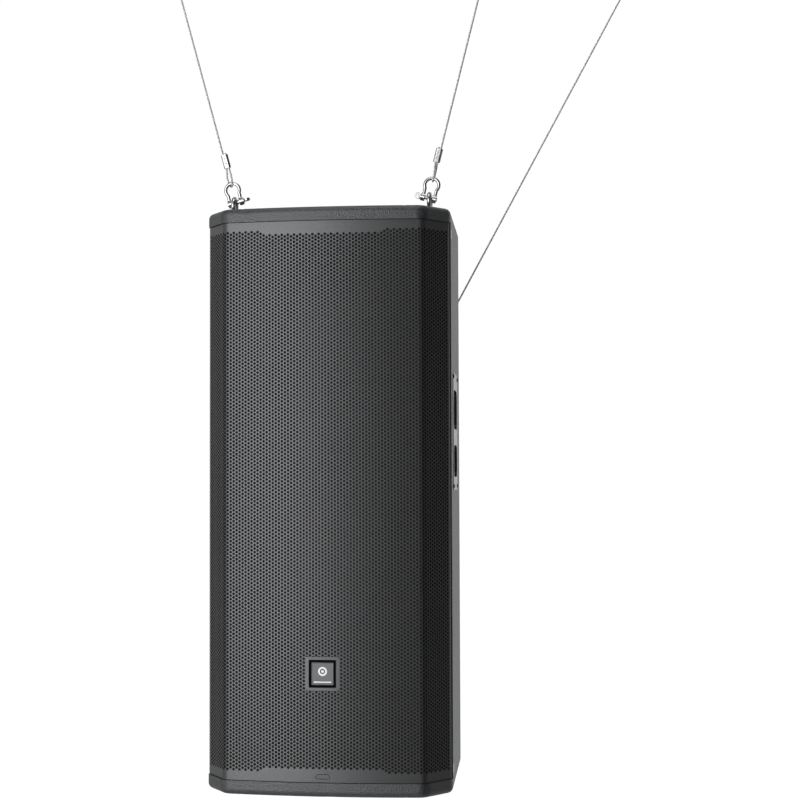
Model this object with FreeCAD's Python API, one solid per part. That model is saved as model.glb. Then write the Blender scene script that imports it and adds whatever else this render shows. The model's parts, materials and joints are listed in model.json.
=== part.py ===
import FreeCAD, Part
import math
import os

# A tall two-way powered loudspeaker cabinet, hung from two wire-rope slings with a third rope behind.
#
# The part frame is in millimetres with +Z up. X is across the cabinet and Y runs from its front to its
# back. The origin is on the floor plane, under the middle of the cabinet. Most places are written as
# x, depth and height: depth behind the foremost line of the grille, and height above the cabinet's
# underside, which stands on its feet.

V = FreeCAD.Vector
X_AXIS = V(1, 0, 0)
Y_AXIS = V(0, 1, 0)
Z_AXIS = V(0, 0, 1)

# Driving dimensions of the cabinet.
cabinet_height = 1070.0
cabinet_depth = 480.0
foot_height = 6.0
cap_thickness = 26.0
cap_overhang = 3.0
board = 18.0

# Corners of the cap's plan, right half, as (x, depth), and the foremost point of its curved front.
cap_plan = [(185.8, 9.1), (228.5, 68.2), (208.2, 399.5), (150.0, 477.0)]
cap_apex = -cap_overhang
cap_corner_radii = [30.0, 18.0, 10.0, 10.0]
cap_edge_radius = 11.0

# Depths of the boards behind the grille.
side_front_depth = 77.0
baffle_depth = 79.0
rear_depth = cabinet_depth - cap_overhang

# Grille and what is fixed to it.
sheet = 1.5
grille_gap = 0.8
grille_flange = 15.0
foam_thickness = 5.0
badge_height = 221.3
badge_frame_size = 48.0
badge_size = 41.0
light_height = 37.0
light_width = 25.0
light_height_size = 7.5

# Drive units.
woofer_heights = {"lower": 226.0, "upper": 618.0}
cutout_radius = 176.0
basket_radius = 194.0
screw_circle = 186.0
horn_height = 925.0
horn_mouth = (270.0, 180.0)
horn_flange = (290.0, 200.0)
horn_length = 150.0
port_near, port_far = 152.0, 198.0
port_low, port_high = 840.0, 1010.0
port_length = 170.0
port_wall = 3.0

# Side handles.
handle_height = 660.5
handle_depth = 208.0
handle_size = (158.0, 221.0)
handle_proud = 1.2
handle_hole = (146.0, 200.0)
handle_cup = (142.0, 196.0)
handle_pocket_width = 132.0
handle_pocket_depth = 45.0

# Amplifier on the back.
amp_height = 315.0
amp_size = (264.0, 374.0)
control_low, control_high = 360.0, 490.0
control_depth = 28.0
fin_low, fin_high = 142.0, 348.0
sockets_height = 446.0
combo_x = (-24.0, -60.0)
link_x = -94.0
encoder_x = 20.0
display_x = 76.0
inlet_x = -72.0
switch_x = -16.0
mains_height = 388.0
rocker_rest = 10.0

# Rigging: eyebolts, shackles, ropes and ceiling eyes.
eyebolt_x = 186.0
eyebolt_depth = 103.0
fly_point_depth = 98.0
fly_point_heights = (1025.5, 40.5)
insert_length = 24.0
insert_radius = 7.0
insert_flange_radius = 9.0
insert_flange = 2.0
thread_radius = 4.25
rear_eye_height = 577.0
eye_bar = 4.0
eye_hole = 9.5
eye_centre_rise = 19.5
pin_radius = 3.75
pin_clearance = 0.25
shackle_bar = 3.25
jaw_half = 7.5
ear_thickness = 6.9
ear_radius = 7.4
bow_hole = 10.0
bow_inside = 34.5
rope_radius = 2.0
rope_clearance = 0.15
ferrule_length = 26.0
ferrule_flat = 2.6
ferrule_half_thickness = 4.2
dimple_radius = 2.6
dimple_depth = 0.7
strand_offset = 2.15
loop_length = 27.5
loop_shoulder = 11.75
anchor_bar = 4.0
anchor_hole = 11.0
anchor_loop = 34.0
rear_pull = V(534.8, 201.5, 1036.7)

front_y = -cabinet_depth / 2 + cap_overhang
cabinet_top = foot_height + cabinet_height


# ---------------------------------------------------------------- plain shapes

def at(x, depth, height):
    """The point of the part frame at a cabinet place."""
    return V(x, front_y + depth, foot_height + height)


def block(x0, x1, d0, d1, h0, h1):
    """A box between two depths and two heights."""
    return Part.makeBox(x1 - x0, d1 - d0, h1 - h0, at(x0, d0, h0))


def rod(radius, length, start, direction):
    """A cylinder that starts at a point of the part frame."""
    return Part.makeCylinder(radius, length, start, direction)


def ring(outer, inner, length, start, direction):
    """A round tube that starts at a point of the part frame."""
    return rod(outer, length, start, direction).cut(rod(inner, length, start, direction))


def prism(points, h0, h1):
    """An upright solid over a polygon of (x, depth) points."""
    corners = [at(x, depth, h0) for x, depth in points]
    face = Part.Face(Part.makePolygon(corners + corners[:1]))
    return face.extrude(V(0, 0, h1 - h0))


def plan_prism(half, apex, radii, h0, h1):
    """An upright solid whose plan has a curved front and mirrored sides, with rounded corners."""
    right = [at(x, depth, h0) for x, depth in half]
    left = [at(-x, depth, h0) for x, depth in half]
    edges = [Part.Arc(left[0], at(0, apex, h0), right[0]).toShape()]
    loop = right + left[::-1]
    for start, end in zip(loop, loop[1:]):
        edges.append(Part.LineSegment(start, end).toShape())
    solid = Part.Face(Part.Wire(edges)).extrude(V(0, 0, h1 - h0))
    for (x, depth), radius in zip(half, radii):
        if radius:
            solid = solid.makeFillet(radius, upright_edges(solid, x, depth))
    return solid


def upright_edges(solid, x, depth):
    """The upright edges of a solid at a plan corner and at its mirror image."""
    spot = at(x, depth, 0)
    found = []
    for edge in solid.Edges:
        low, high = edge.Vertexes[0].Point, edge.Vertexes[-1].Point
        upright = abs(low.x - high.x) + abs(low.y - high.y) < 0.01 and abs(low.z - high.z) > 1
        if upright and abs(abs(low.x) - x) < 0.05 and abs(low.y - spot.y) < 0.05:
            found.append(edge)
    return found


def inset(half, apex, distance):
    """A plan's right half and apex moved inwards, with its corners kept sharp."""
    normals = [(0.0, -1.0)]
    for (x0, d0), (x1, d1) in zip(half, half[1:]):
        length = math.hypot(x1 - x0, d1 - d0)
        normals.append(((d1 - d0) / length, (x0 - x1) / length))
    normals.append((0.0, 1.0))
    moved = []
    for (x, depth), before, after in zip(half, normals, normals[1:]):
        spread = 1 + before[0] * after[0] + before[1] * after[1]
        across = (before[0] + after[0]) / spread
        deep = (before[1] + after[1]) / spread
        moved.append((x - distance * across, depth - distance * deep))
    return moved, apex + distance


def side_x(half, depth):
    """Where the plan's side line, between its second and third corners, passes a depth."""
    (x1, d1), (x2, d2) = half[1], half[2]
    return x1 + (x2 - x1) * (depth - d1) / (d2 - d1)


def turned(profile, centre):
    """A solid of revolution about a line along Y: profile holds (radius, distance behind centre)."""
    corners = [V(radius, back, 0) for radius, back in profile]
    face = Part.Face(Part.makePolygon(corners + corners[:1]))
    solid = face.revolve(V(0, 0, 0), Y_AXIS, 360)
    solid.translate(centre)
    return solid


def rounded_block(width, height, depth, radius, centre):
    """A plate with rounded corners that faces Y; centre is the middle of its nearer face."""
    solid = Part.makeBox(width, depth, height, centre + V(-width / 2, 0, -height / 2))
    along = [e for e in solid.Edges if abs(e.Vertexes[0].Point.y - e.Vertexes[-1].Point.y) > depth / 2]
    return solid.makeFillet(radius, along)


def placed(shape, origin, across, along):
    """A copy of a shape whose own X turns to across and whose own Z turns to along."""
    moved = shape.copy()
    moved.Placement = FreeCAD.Placement(
        origin, FreeCAD.Rotation(across, along.cross(across), along, "ZXY"))
    return moved


def mirrored(shape):
    """The left-hand copy of a right-hand shape."""
    return shape.mirror(V(0, 0, 0), X_AXIS)


def joined(shapes):
    """One fused solid."""
    return shapes[0].multiFuse(shapes[1:]).removeSplitter()


def save(name, shape):
    """Writes a node and says how many solids it has."""
    if not shape.isValid():
        print("INVALID", name)
    shape.exportStep("parts/%s.step" % name)
    print("%-26s %d solids, %.1f cm3" % (name, len(shape.Solids), shape.Volume / 1000))


def save_group(name, shapes):
    """Writes several separate solids as one node."""
    save(name, Part.makeCompound(shapes))


# ---------------------------------------------------------------- carcass

inner_plan, inner_apex = inset(cap_plan, cap_apex, board)
wall_low, wall_high = cap_thickness, cabinet_height - cap_thickness


def insert_places():
    """Each threaded insert as (point on the surface, outward direction, length)."""
    side_tilt = math.atan2(cap_plan[1][0] - cap_plan[2][0], cap_plan[2][1] - cap_plan[1][1])
    outward = V(math.cos(side_tilt), math.sin(side_tilt), 0)
    places = []
    for sign in (-1, 1):
        places.append((at(sign * eyebolt_x, eyebolt_depth, cabinet_height), Z_AXIS, insert_length))
        places.append((at(sign * eyebolt_x, eyebolt_depth, 0), -Z_AXIS, insert_length))
        for height in fly_point_heights:
            point = at(sign * side_x(cap_plan, fly_point_depth), fly_point_depth, height)
            places.append((point, V(sign * outward.x, outward.y, 0), board))
    places.append((at(0, rear_depth, rear_eye_height), Y_AXIS, board))
    return places


def cut_inserts(solid):
    """A board with its insert holes cut."""
    for point, out, length in insert_places():
        solid = solid.cut(rod(insert_radius, length, point - out * length, out))
        flange = rod(insert_flange_radius, insert_flange, point - out * insert_flange, out)
        solid = solid.cut(flange)
    return solid


def make_cap(top):
    """The top or bottom board, with rounded outer edges."""
    low = cabinet_height - cap_thickness if top else 0.0
    cap = plan_prism(cap_plan, cap_apex, cap_corner_radii, low, low + cap_thickness)
    outer_z = foot_height + (cabinet_height if top else 0.0)
    rim = [e for e in cap.Edges
           if all(abs(v.Point.z - outer_z) < 0.01 for v in e.Vertexes)
           and abs(e.BoundBox.ZLength) < 0.01]
    cap = cap.makeFillet(cap_edge_radius, rim)
    for x, depth in grille_screw_places():
        cap = cap.cut(rod(2.2, cap_thickness + 2, at(x, depth, low - 1), Z_AXIS))
        head = at(x, depth, low + (cap_thickness if top else 0.0))
        cap = cap.cut(rod(4.6, 8.0, head, -Z_AXIS if top else Z_AXIS))
    return cut_inserts(cap)


def grille_screw_places():
    """The screws that hold the grille's folded flanges to the caps."""
    return [(-150.0, 16.0), (0.0, 10.0), (150.0, 16.0)]


def carcass_wall(points):
    """A carcass board over a plan quadrilateral, trimmed to the rounded outline."""
    outline = plan_prism(cap_plan, cap_apex, cap_corner_radii, wall_low, wall_high)
    return prism(points, wall_low, wall_high).common(outline)


def make_side_panel():
    """The right side board, with the handle's hole."""
    front = side_front_depth
    panel = carcass_wall([
        (side_x(cap_plan, front), front), cap_plan[2], inner_plan[2], (side_x(inner_plan, front), front)])
    panel = panel.cut(on_side(side_plate(*handle_hole, -5, board + 5, 14.0)))
    for along, up in handle_screw_places():
        panel = panel.cut(on_side(rod(1.6, 14.0, V(along, 0, up), Y_AXIS)))
    return cut_inserts(panel)


def make_rear_corner():
    """The slanted board at the right rear."""
    return carcass_wall([cap_plan[2], cap_plan[3], inner_plan[3], inner_plan[2]])


def make_rear_panel():
    """The back board, with the amplifier's cut-out and the rebate for its plate."""
    outer, inner = cap_plan[3], inner_plan[3]
    panel = carcass_wall([outer, (-outer[0], outer[1]), (-inner[0], inner[1]), inner])
    width, height = amp_size
    low, high = amp_height - height / 2, amp_height + height / 2
    panel = panel.cut(block(-width / 2 - 0.5, width / 2 + 0.5, rear_depth - 3, rear_depth + 1,
                            low - 0.5, high + 0.5))
    panel = panel.cut(block(-120, 120, rear_depth - 30, rear_depth + 1, low + 12, high - 12))
    for x, height in amp_screw_places():
        panel = panel.cut(rod(1.6, 12.0, at(x, rear_depth - 3, height), -Y_AXIS))
    return cut_inserts(panel)


def make_baffle():
    """The front board with the holes for the woofers, the horn and the two ports."""
    front, back = baffle_depth, baffle_depth + board
    near, far = side_x(inner_plan, front) - 0.2, side_x(inner_plan, back) - 0.2
    baffle = prism([(near, front), (far, back), (-far, back), (-near, front)], wall_low, wall_high)
    for height in woofer_heights.values():
        baffle = baffle.cut(rod(cutout_radius, board + 2, at(0, front - 1, height), Y_AXIS))
        for x, high in around(height, screw_circle, 8):
            baffle = baffle.cut(rod(1.8, board - 2, at(x, front, high), Y_AXIS))
    width, height = horn_mouth
    baffle = baffle.cut(block(-width / 2 - 4, width / 2 + 4, front - 1, back + 1,
                              horn_height - height / 2 - 4, horn_height + height / 2 + 4))
    for sign in (-1, 1):
        x0, x1 = sorted((sign * port_near, sign * port_far))
        baffle = baffle.cut(block(x0, x1, front - 1, back + 1, port_low, port_high))
    return baffle


def around(height, radius, count):
    """Points as (x, height) evenly spaced on a circle about a woofer's axis."""
    step = 2 * math.pi / count
    return [(radius * math.sin((i + 0.5) * step), height + radius * math.cos((i + 0.5) * step))
            for i in range(count)]


def make_brace():
    """The shelf between the two woofers: a frame that is open where the amplifier stands."""
    front, back = baffle_depth + board, rear_depth - board
    low = (woofer_heights["lower"] + woofer_heights["upper"]) / 2 - board / 2
    points = [(side_x(inner_plan, front), front), inner_plan[2], inner_plan[3]]
    points += [(-x, depth) for x, depth in points[::-1]]
    shelf = prism(points, low, low + board)
    return shelf.cut(block(-150, 150, front + 60, back + 1, low - 1, low + board + 1))


def make_port_duct(sign):
    """One port: a rectangular duct behind the baffle with a lip in its hole."""
    x0, x1 = sorted((sign * port_near, sign * port_far))
    front, back = baffle_depth, baffle_depth + port_length
    duct = block(x0, x1, front, back, port_low, port_high)
    return duct.cut(block(x0 + port_wall, x1 - port_wall, front - 1, back + 1,
                          port_low + port_wall, port_high - port_wall))


def make_insert(point, out, length):
    """A flanged steel bush with an M10 thread, drawn at its minor radius."""
    shank = rod(insert_radius, length, point - out * length, out)
    flange = rod(insert_flange_radius, insert_flange, point - out * insert_flange, out)
    return joined([shank, flange]).cut(rod(thread_radius, length + 2, point - out * (length + 1), out))


def make_foot(x, depth):
    """A round rubber foot with a chamfered tread and a recessed middle."""
    foot = Part.makeCone(16.0, 19.0, foot_height, at(x, depth, -foot_height), Z_AXIS)
    return foot.cut(rod(5.0, foot_height - 2, at(x, depth, -foot_height), Z_AXIS))


# ---------------------------------------------------------------- grille

def make_grille():
    """The folded steel grille: curved front, two facets, and flanges turned in on all edges."""
    half, apex = inset(cap_plan[:3], cap_apex, cap_overhang)
    low, high = wall_low + grille_gap, wall_high - grille_gap
    back = side_front_depth - 2.5
    outer = plan_prism([half[0], half[1], (side_x(half, back), back)], apex, [14, 5, 0], low, high)
    half, apex = inset(cap_plan[:3], cap_apex, cap_overhang + sheet)
    inner = plan_prism([half[0], half[1], (side_x(half, back), back - sheet)], apex,
                       [12.5, 3.5, 0], low + sheet, high - sheet)
    half, apex = inset(cap_plan[:3], cap_apex, cap_overhang + grille_flange)
    window = plan_prism([half[0], half[1], (half[1][0], back + 1)], apex, [0, 0, 0], low - 1, high + 1)
    grille = outer.cut(inner).cut(window)
    for x, depth in grille_screw_places():
        grille = grille.cut(rod(1.8, cabinet_height, at(x, depth, 0), Z_AXIS))
    return cut_badge_and_light(grille)


def cut_badge_and_light(grille):
    """The badge's square recess and the light's slot, cut through the curved front."""
    half_side = badge_frame_size / 2
    grille = grille.cut(block(-half_side, half_side, -5, 12, badge_height - half_side,
                              badge_height + half_side))
    slot = rounded_block(light_width, light_height_size, 20, light_height_size / 2 - 0.2,
                         at(0, -5, light_height))
    return grille.cut(slot)


def make_foam():
    """The dust foam behind the grille's front and facets."""
    start = cap_overhang + sheet + 0.3
    low, high = wall_low + grille_gap + sheet + 0.3, wall_high - grille_gap - sheet - 0.3
    back = side_front_depth - 2.5 - sheet - 0.5
    half, apex = inset(cap_plan[:3], cap_apex, start)
    outer = plan_prism([half[0], half[1], (side_x(half, back), back)], apex, [12, 0, 0], low, high)
    half, apex = inset(cap_plan[:3], cap_apex, start + foam_thickness)
    inner = plan_prism([half[0], half[1], (side_x(half, back), back + 1)], apex, [7, 0, 0],
                       low - 1, high + 1)
    foam = outer.cut(inner)
    half_side = badge_frame_size / 2 + 4
    foam = foam.cut(block(-half_side, half_side, -5, 20, badge_height - half_side,
                          badge_height + half_side))
    return foam.cut(block(-18, 18, -5, 20, low - 1, light_height + 9))


def make_badge():
    """The square badge: a tray that backs the grille's opening and a raised plate in it."""
    tray = rounded_block(badge_frame_size + 6, badge_frame_size + 6, 3.0, 2.0, at(0, 1.8, badge_height))
    plate = rounded_block(badge_size, badge_size, 2.0, 1.5, at(0, 0.1, badge_height))
    return joined([tray, plate])


def make_light():
    """The lens of the status light, with the lip that holds it behind the sheet."""
    lens = rounded_block(light_width - 0.6, light_height_size - 0.6, 3.0, 3.0, at(0, 0.4, light_height))
    lip = rounded_block(light_width + 5, light_height_size + 5, 2.0, 3.0, at(0, 2.2, light_height))
    return joined([lens, lip])


# ---------------------------------------------------------------- side handles

def on_side(shape):
    """Places a shape on the right side panel: its X runs rearward, its Y inward and its Z up."""
    rearward = V(cap_plan[2][0] - cap_plan[1][0], cap_plan[2][1] - cap_plan[1][1], 0).normalize()
    origin = at(side_x(cap_plan, handle_depth), handle_depth, handle_height)
    return placed(shape, origin, rearward, Z_AXIS)


def side_plate(width, height, outer, inner, radius, up=0.0):
    """A plate with rounded corners in the side panel's axes, between two distances inwards."""
    return rounded_block(width, height, inner - outer, radius, V(0, outer, up))


def handle_screw_places():
    """The handle's screws as (along the panel, up)."""
    across, up = handle_size[0] / 2 - 7, handle_size[1] / 2 - 7.5
    return [(s, z) for s in (-across, across) for z in (-up, up)]


def make_handle():
    """A moulded pocket handle: a flange, two finger pockets and the block that parts them."""
    flange = side_plate(*handle_size, -handle_proud, 0, 16.0)
    cup = side_plate(*handle_cup, -handle_proud / 2, handle_pocket_depth + 3, 14.0)
    handle = joined([flange, cup])
    wide, deep = handle_pocket_width, handle_pocket_depth
    upper = side_plate(wide, 74.0, -3.0, deep, 18.0, 42.0)
    lower = side_plate(wide, 60.0, -3.0, deep, 18.0, -55.5)
    under_lip = side_plate(wide, 60.0, 16.0, deep, 14.0, 64.0)
    for pocket in (upper, lower, under_lip):
        handle = handle.cut(pocket)
    for along, up in handle_screw_places():
        handle = handle.cut(rod(2.0, 8.0, V(along, -3, up), Y_AXIS))
    return on_side(handle)


# ---------------------------------------------------------------- drive units

def make_basket(height):
    """The cast frame: a flange, six spokes' worth of open cone, and the seat for the magnet."""
    profile = [(176, 0), (basket_radius, 0), (basket_radius, -8), (178, -8), (178, -3), (170, -3),
               (170, 2), (100, 62), (92, 62), (92, 92), (60, 92), (60, 99), (98, 99), (98, 66),
               (104, 66), (175, 5)]
    basket = turned(profile, at(0, baffle_depth, height))
    for i in range(6):
        angle = math.radians(60 * i)
        out = V(math.sin(angle), 0, math.cos(angle))
        start = at(0, baffle_depth + 40, height) + out * 101
        basket = basket.cut(rod(24.0, 80.0, start, out))
    for x, high in around(height, screw_circle, 8):
        basket = basket.cut(rod(3.2, 12.0, at(x, baffle_depth - 10, high), Y_AXIS))
    return basket


def make_motor(height):
    """The magnet assembly: top plate, magnet ring, and the back plate with its vented pole."""
    centre = at(0, baffle_depth, height)
    top_plate = turned([(41.4, 99), (95, 99), (95, 109), (41.4, 109)], centre)
    magnet = turned([(56, 109), (104, 109), (104, 138), (56, 138)], centre)
    back = turned([(12, 98), (37, 98), (37, 138), (98, 138), (98, 150), (12, 150)], centre)
    return [top_plate, magnet, back]


def make_spider(height):
    """The corrugated cupped centring disc, from the voice coil forward to its ledge in the basket."""
    rolls, inner, outer = 5, 40.9, 99.5
    collar, ledge, ripple, cloth = 69.5, 61.0, 2.2, 1.0
    first, last = 46.0, 90.0
    steps = 2 * rolls
    front_line = [(inner, collar), (first, collar)]
    for i in range(steps):
        share = (i + 0.5) / steps
        middle = collar + (ledge - collar) * share
        front_line.append((first + (last - first) * share, middle + (ripple if i % 2 else -ripple)))
    front_line += [(last, ledge), (outer, ledge)]
    back_line = [(radius, depth + cloth) for radius, depth in front_line]
    return turned(front_line + back_line[::-1], at(0, baffle_depth, height))


def make_surround(height):
    """The half-roll edge between the cone and the basket, with its two glued lips."""
    middle, outer, inner, seat = 169.0, 8.0, 6.6, -3.6
    lines = [
        Part.Arc(V(middle - outer, seat, 0), V(middle, seat - outer, 0), V(middle + outer, seat, 0)),
        Part.LineSegment(V(middle + outer, seat, 0), V(middle + outer, seat + 0.6, 0)),
        Part.LineSegment(V(middle + outer, seat + 0.6, 0), V(middle + inner, seat + 0.6, 0)),
        Part.LineSegment(V(middle + inner, seat + 0.6, 0), V(middle + inner, seat, 0)),
        Part.Arc(V(middle + inner, seat, 0), V(middle, seat - inner, 0), V(middle - inner, seat, 0)),
        Part.LineSegment(V(middle - inner, seat, 0), V(middle - inner, seat + 0.6, 0)),
        Part.LineSegment(V(middle - inner, seat + 0.6, 0), V(middle - outer, seat + 0.6, 0)),
        Part.LineSegment(V(middle - outer, seat + 0.6, 0), V(middle - outer, seat, 0)),
    ]
    face = Part.Face(Part.Wire([line.toShape() for line in lines]))
    solid = face.revolve(V(0, 0, 0), Y_AXIS, 360)
    solid.translate(at(0, baffle_depth, height))
    return solid


def make_cone(height):
    """The paper cone and the domed dust cap on it."""
    centre = at(0, baffle_depth, height)
    cone = turned([(162.6, -2.9), (160, -2.9), (40.3, 58), (40.3, 60), (42, 60), (162.6, -1.2)], centre)
    rim, top, radius = 58.0, 29.8, 103.6
    dome = [(0.01, top)]
    for i in range(1, 9):
        angle = math.asin(rim / radius) * i / 8
        dome.append((radius * math.sin(angle), top + radius * (1 - math.cos(angle))))
    dome += [(r, back + 1.2) for r, back in dome[::-1]]
    dome[0] = (0, top)
    dome[-1] = (0, top + 1.2)
    return [cone, turned(dome, centre)]


def make_voice_coil(height):
    """The coil's former and winding, in the magnet's gap."""
    profile = [(38.6, 56), (40.2, 56), (40.2, 98), (40.9, 98), (40.9, 112), (38.6, 112)]
    return turned(profile, at(0, baffle_depth, height))


def horn_section(width, height, radius, back):
    """A closed rounded rectangle across the horn, at a distance behind the baffle's face."""
    half_w, half_h = width / 2 - radius, height / 2 - radius
    centre = at(0, baffle_depth + back, horn_height)
    edges = []
    corners = [(half_w, half_h, 0), (-half_w, half_h, 90), (-half_w, -half_h, 180), (half_w, -half_h, 270)]

    def spot(x, z, degrees):
        angle = math.radians(degrees)
        return centre + V(x + radius * math.cos(angle), 0, z + radius * math.sin(angle))

    for i, (x, z, start) in enumerate(corners):
        end = spot(x, z, start + 90)
        edges.append(Part.Arc(spot(x, z, start), spot(x, z, start + 45), end).toShape())
        x_next, z_next, start_next = corners[(i + 1) % 4]
        edges.append(Part.LineSegment(end, spot(x_next, z_next, start_next)).toShape())
    return Part.Wire(edges)


def make_horn():
    """The waveguide: a flanged mouth that narrows to a round throat, with the driver's flange."""
    width, height = horn_mouth
    stations = [(1.0, 1.0, 24.0, -1.0), (0.80, 0.86, 26.0, 30.0), (0.46, 0.56, 24.0, 75.0),
                (0.22, 0.31, 19.0, 115.0), (0.15, 0.225, 18.0, horn_length)]
    hollow = Part.makeLoft([horn_section(width * a, height * b, r, back) for a, b, r, back in stations],
                           True, False)
    outer = Part.makeLoft([horn_section(width * a + 7, height * b + 7, r + 3.5, back)
                           for a, b, r, back in stations[:-1]]
                          + [horn_section(width * 0.15 + 7, height * 0.225 + 7, 21.5, horn_length - 0.01)],
                          True, False)
    flange = rounded_block(horn_flange[0], horn_flange[1], 6.0, 12.0,
                           at(0, baffle_depth - 6, horn_height))
    seat = rod(48.0, 8.0, at(0, baffle_depth + horn_length - 8, horn_height), Y_AXIS)
    mouth = Part.makeLoft([horn_section(width + 6, height + 6, 27.0, -7.0),
                           horn_section(width, height, 24.0, -0.99)], True, False)
    horn = joined([outer, flange, seat]).cut(hollow).cut(mouth)
    throat = rod(19.0, 12.0, at(0, baffle_depth + horn_length - 10, horn_height), Y_AXIS)
    return horn.cut(throat)


def make_compression_driver():
    """The compression driver: a front plate, its magnet and a domed rear cover."""
    start = at(0, baffle_depth + horn_length, horn_height)
    profile = [(19, 0), (48, 0), (48, 8), (58, 8), (58, 38), (52, 42), (52, 52), (46, 58), (0, 58),
               (0, 50), (19, 50)]
    return turned(profile, start)


# ---------------------------------------------------------------- amplifier

def amp_screw_places():
    """The screws round the amplifier's plate as (x, height)."""
    width, height = amp_size
    across, up = width / 2 - 6, height / 2 - 6
    places = [(x, amp_height + z) for x in (-across, across) for z in (-up, 0, up)]
    return places + [(0, amp_height - up), (0, amp_height + up)]


def make_amp_panel():
    """The back plate: a recessed control pan above, and a recess with cooling fins below."""
    width, height = amp_size
    back = rear_depth
    panel = rounded_block(width, height, 3.0, 5.0, at(0, back - 3, amp_height))
    control = block(-115, 115, back - control_depth - 2.5, back - 2, control_low - 2, control_high)
    cooling = block(-115, 115, back - control_depth - 2.5, back - 2, fin_low, fin_high + 2)
    panel = joined([panel, control, cooling])
    panel = panel.cut(block(-112.5, 112.5, back - control_depth, back + 1, control_low, control_high - 2))
    panel = panel.cut(block(-112.5, 112.5, back - control_depth, back + 1, fin_low + 2, fin_high))
    fins = [block(-107.5 + 9 * i, -105 + 9 * i, back - control_depth - 1, back - 1, fin_low + 1, fin_high + 1)
            for i in range(24)]
    panel = joined([panel] + fins)
    floor = back - control_depth - 4
    for x in combo_x + (link_x,):
        panel = panel.cut(rod(12.0, 8, at(x, floor, sockets_height), Y_AXIS))
        panel = panel.cut(block(x - 3.5, x + 3.5, floor, floor + 8, sockets_height, sockets_height + 15.3))
    panel = panel.cut(rod(4.0, 8, at(encoder_x, floor, sockets_height), Y_AXIS))
    panel = panel.cut(block(display_x - 26, display_x + 26, floor, floor + 8, 434, 462))
    panel = panel.cut(block(inlet_x - 22, inlet_x + 22, floor, floor + 8, mains_height - 13, mains_height + 13))
    panel = panel.cut(block(switch_x - 11, switch_x + 11, floor, floor + 8, mains_height - 14, mains_height + 14))
    for x, high in amp_screw_places():
        panel = panel.cut(rod(1.7, 8.0, at(x, back - 5, high), Y_AXIS))
        panel = panel.cut(rod(3.9, 3.0, at(x, back - 2, high), Y_AXIS))
    return panel


def make_chassis():
    """The folded steel box behind the plate, open towards it."""
    front = rear_depth - control_depth - 92.5
    back = rear_depth - control_depth - 2.5
    low, high = fin_low - 8, control_high + 8
    box = block(-117, 117, front, back, low, high)
    return box.cut(block(-115.5, 115.5, front + 1.5, back + 1, low + 1.5, high - 1.5))


def make_amp_board():
    """The amplifier's circuit board with two coils and four capacitors on it."""
    front = rear_depth - control_depth - 84
    pieces = [block(-105, 105, front, front + 1.6, 330, 485)]
    for x in (-60.0, 60.0):
        pieces.append(ring(16, 8, 14.2, at(x, front + 1.4, 370), Y_AXIS))
    for i in range(4):
        pieces.append(rod(11.0, 32.2, at(-54 + 36 * i, front + 1.4, 425), Y_AXIS))
    return joined(pieces)


def make_power_supply():
    """The mains supply's board with its transformer and heat spreader."""
    front = rear_depth - control_depth - 84
    board_plate = block(-105, 105, front, front + 1.6, 150, 320)
    transformer = block(-40, 20, front + 1.4, front + 46, 190, 250)
    spreader = block(50, 62, front + 1.4, front + 50, 165, 305)
    return joined([board_plate, transformer, spreader])


def make_socket(x, hole, depth):
    """A panel socket on the control pan: a flange with its body behind it and a round hole."""
    floor = rear_depth - control_depth
    flange = rounded_block(29.0, 33.0, 2.5, 4.0, at(x, floor, sockets_height))
    body = rod(11.8, 26.0, at(x, floor - 24, sockets_height), Y_AXIS)
    socket = joined([flange, body])
    socket = socket.cut(rod(hole, depth + 3, at(x, floor + 2.5 - depth, sockets_height), Y_AXIS))
    return socket


def make_combo_sockets():
    """The two combined jack and three-pin inputs, each with a slot for its release tab."""
    sockets = []
    floor = rear_depth - control_depth
    for x in combo_x:
        socket = make_socket(x, 9.5, 20.0)
        socket = socket.cut(block(x - 3.2, x + 3.2, floor - 5, floor + 4, sockets_height + 10.6,
                                  sockets_height + 15.0))
        sockets.append(socket)
    return sockets


def make_link_socket():
    """The through output: a hollow socket with its three pins."""
    floor = rear_depth - control_depth
    socket = make_socket(link_x, 9.5, 18.0)
    pins = []
    for x, up in ((-4.0, 2.0), (4.0, 2.0), (0.0, -4.0)):
        pins.append(rod(1.2, 13.0, at(link_x + x, floor - 16.0, sockets_height + up), Y_AXIS))
    return joined([socket] + pins)


def make_tab(x):
    """The push tab that lets a plug go."""
    floor = rear_depth - control_depth
    return rounded_block(5.6, 3.6, 6.0, 0.8, at(x, floor - 1.5, sockets_height + 12.8))


def make_encoder_shaft():
    """The encoder's plunger, which its knob is pressed on."""
    floor = rear_depth - control_depth
    return rod(3.0, 20.0, at(encoder_x, floor - 6, sockets_height), Y_AXIS)


def make_encoder_body():
    """The encoder's bushing and case on the pan's floor."""
    floor = rear_depth - control_depth
    case = block(encoder_x - 7, encoder_x + 7, floor - 12, floor - 2.5, sockets_height - 7, sockets_height + 7)
    nut = rod(5.0, 3.0, at(encoder_x, floor, sockets_height), Y_AXIS)
    neck = rod(3.9, 4.0, at(encoder_x, floor - 3, sockets_height), Y_AXIS)
    body = joined([case, nut, neck])
    return body.cut(rod(3.05, 12.0, at(encoder_x, floor - 8, sockets_height), Y_AXIS))


def make_knob():
    """The fluted knob of the encoder."""
    floor = rear_depth - control_depth
    start = at(encoder_x, floor + 5, sockets_height)
    knob = Part.makeCone(12.5, 11.0, 16.0, start, Y_AXIS)
    for i in range(18):
        angle = math.radians(20 * i)
        out = V(math.cos(angle), 0, math.sin(angle)) * 12.8
        knob = knob.cut(rod(0.9, 18.0, start + out - Y_AXIS, Y_AXIS))
    return knob.cut(rod(3.02, 9.1, start - Y_AXIS * 0.1, Y_AXIS))


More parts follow.
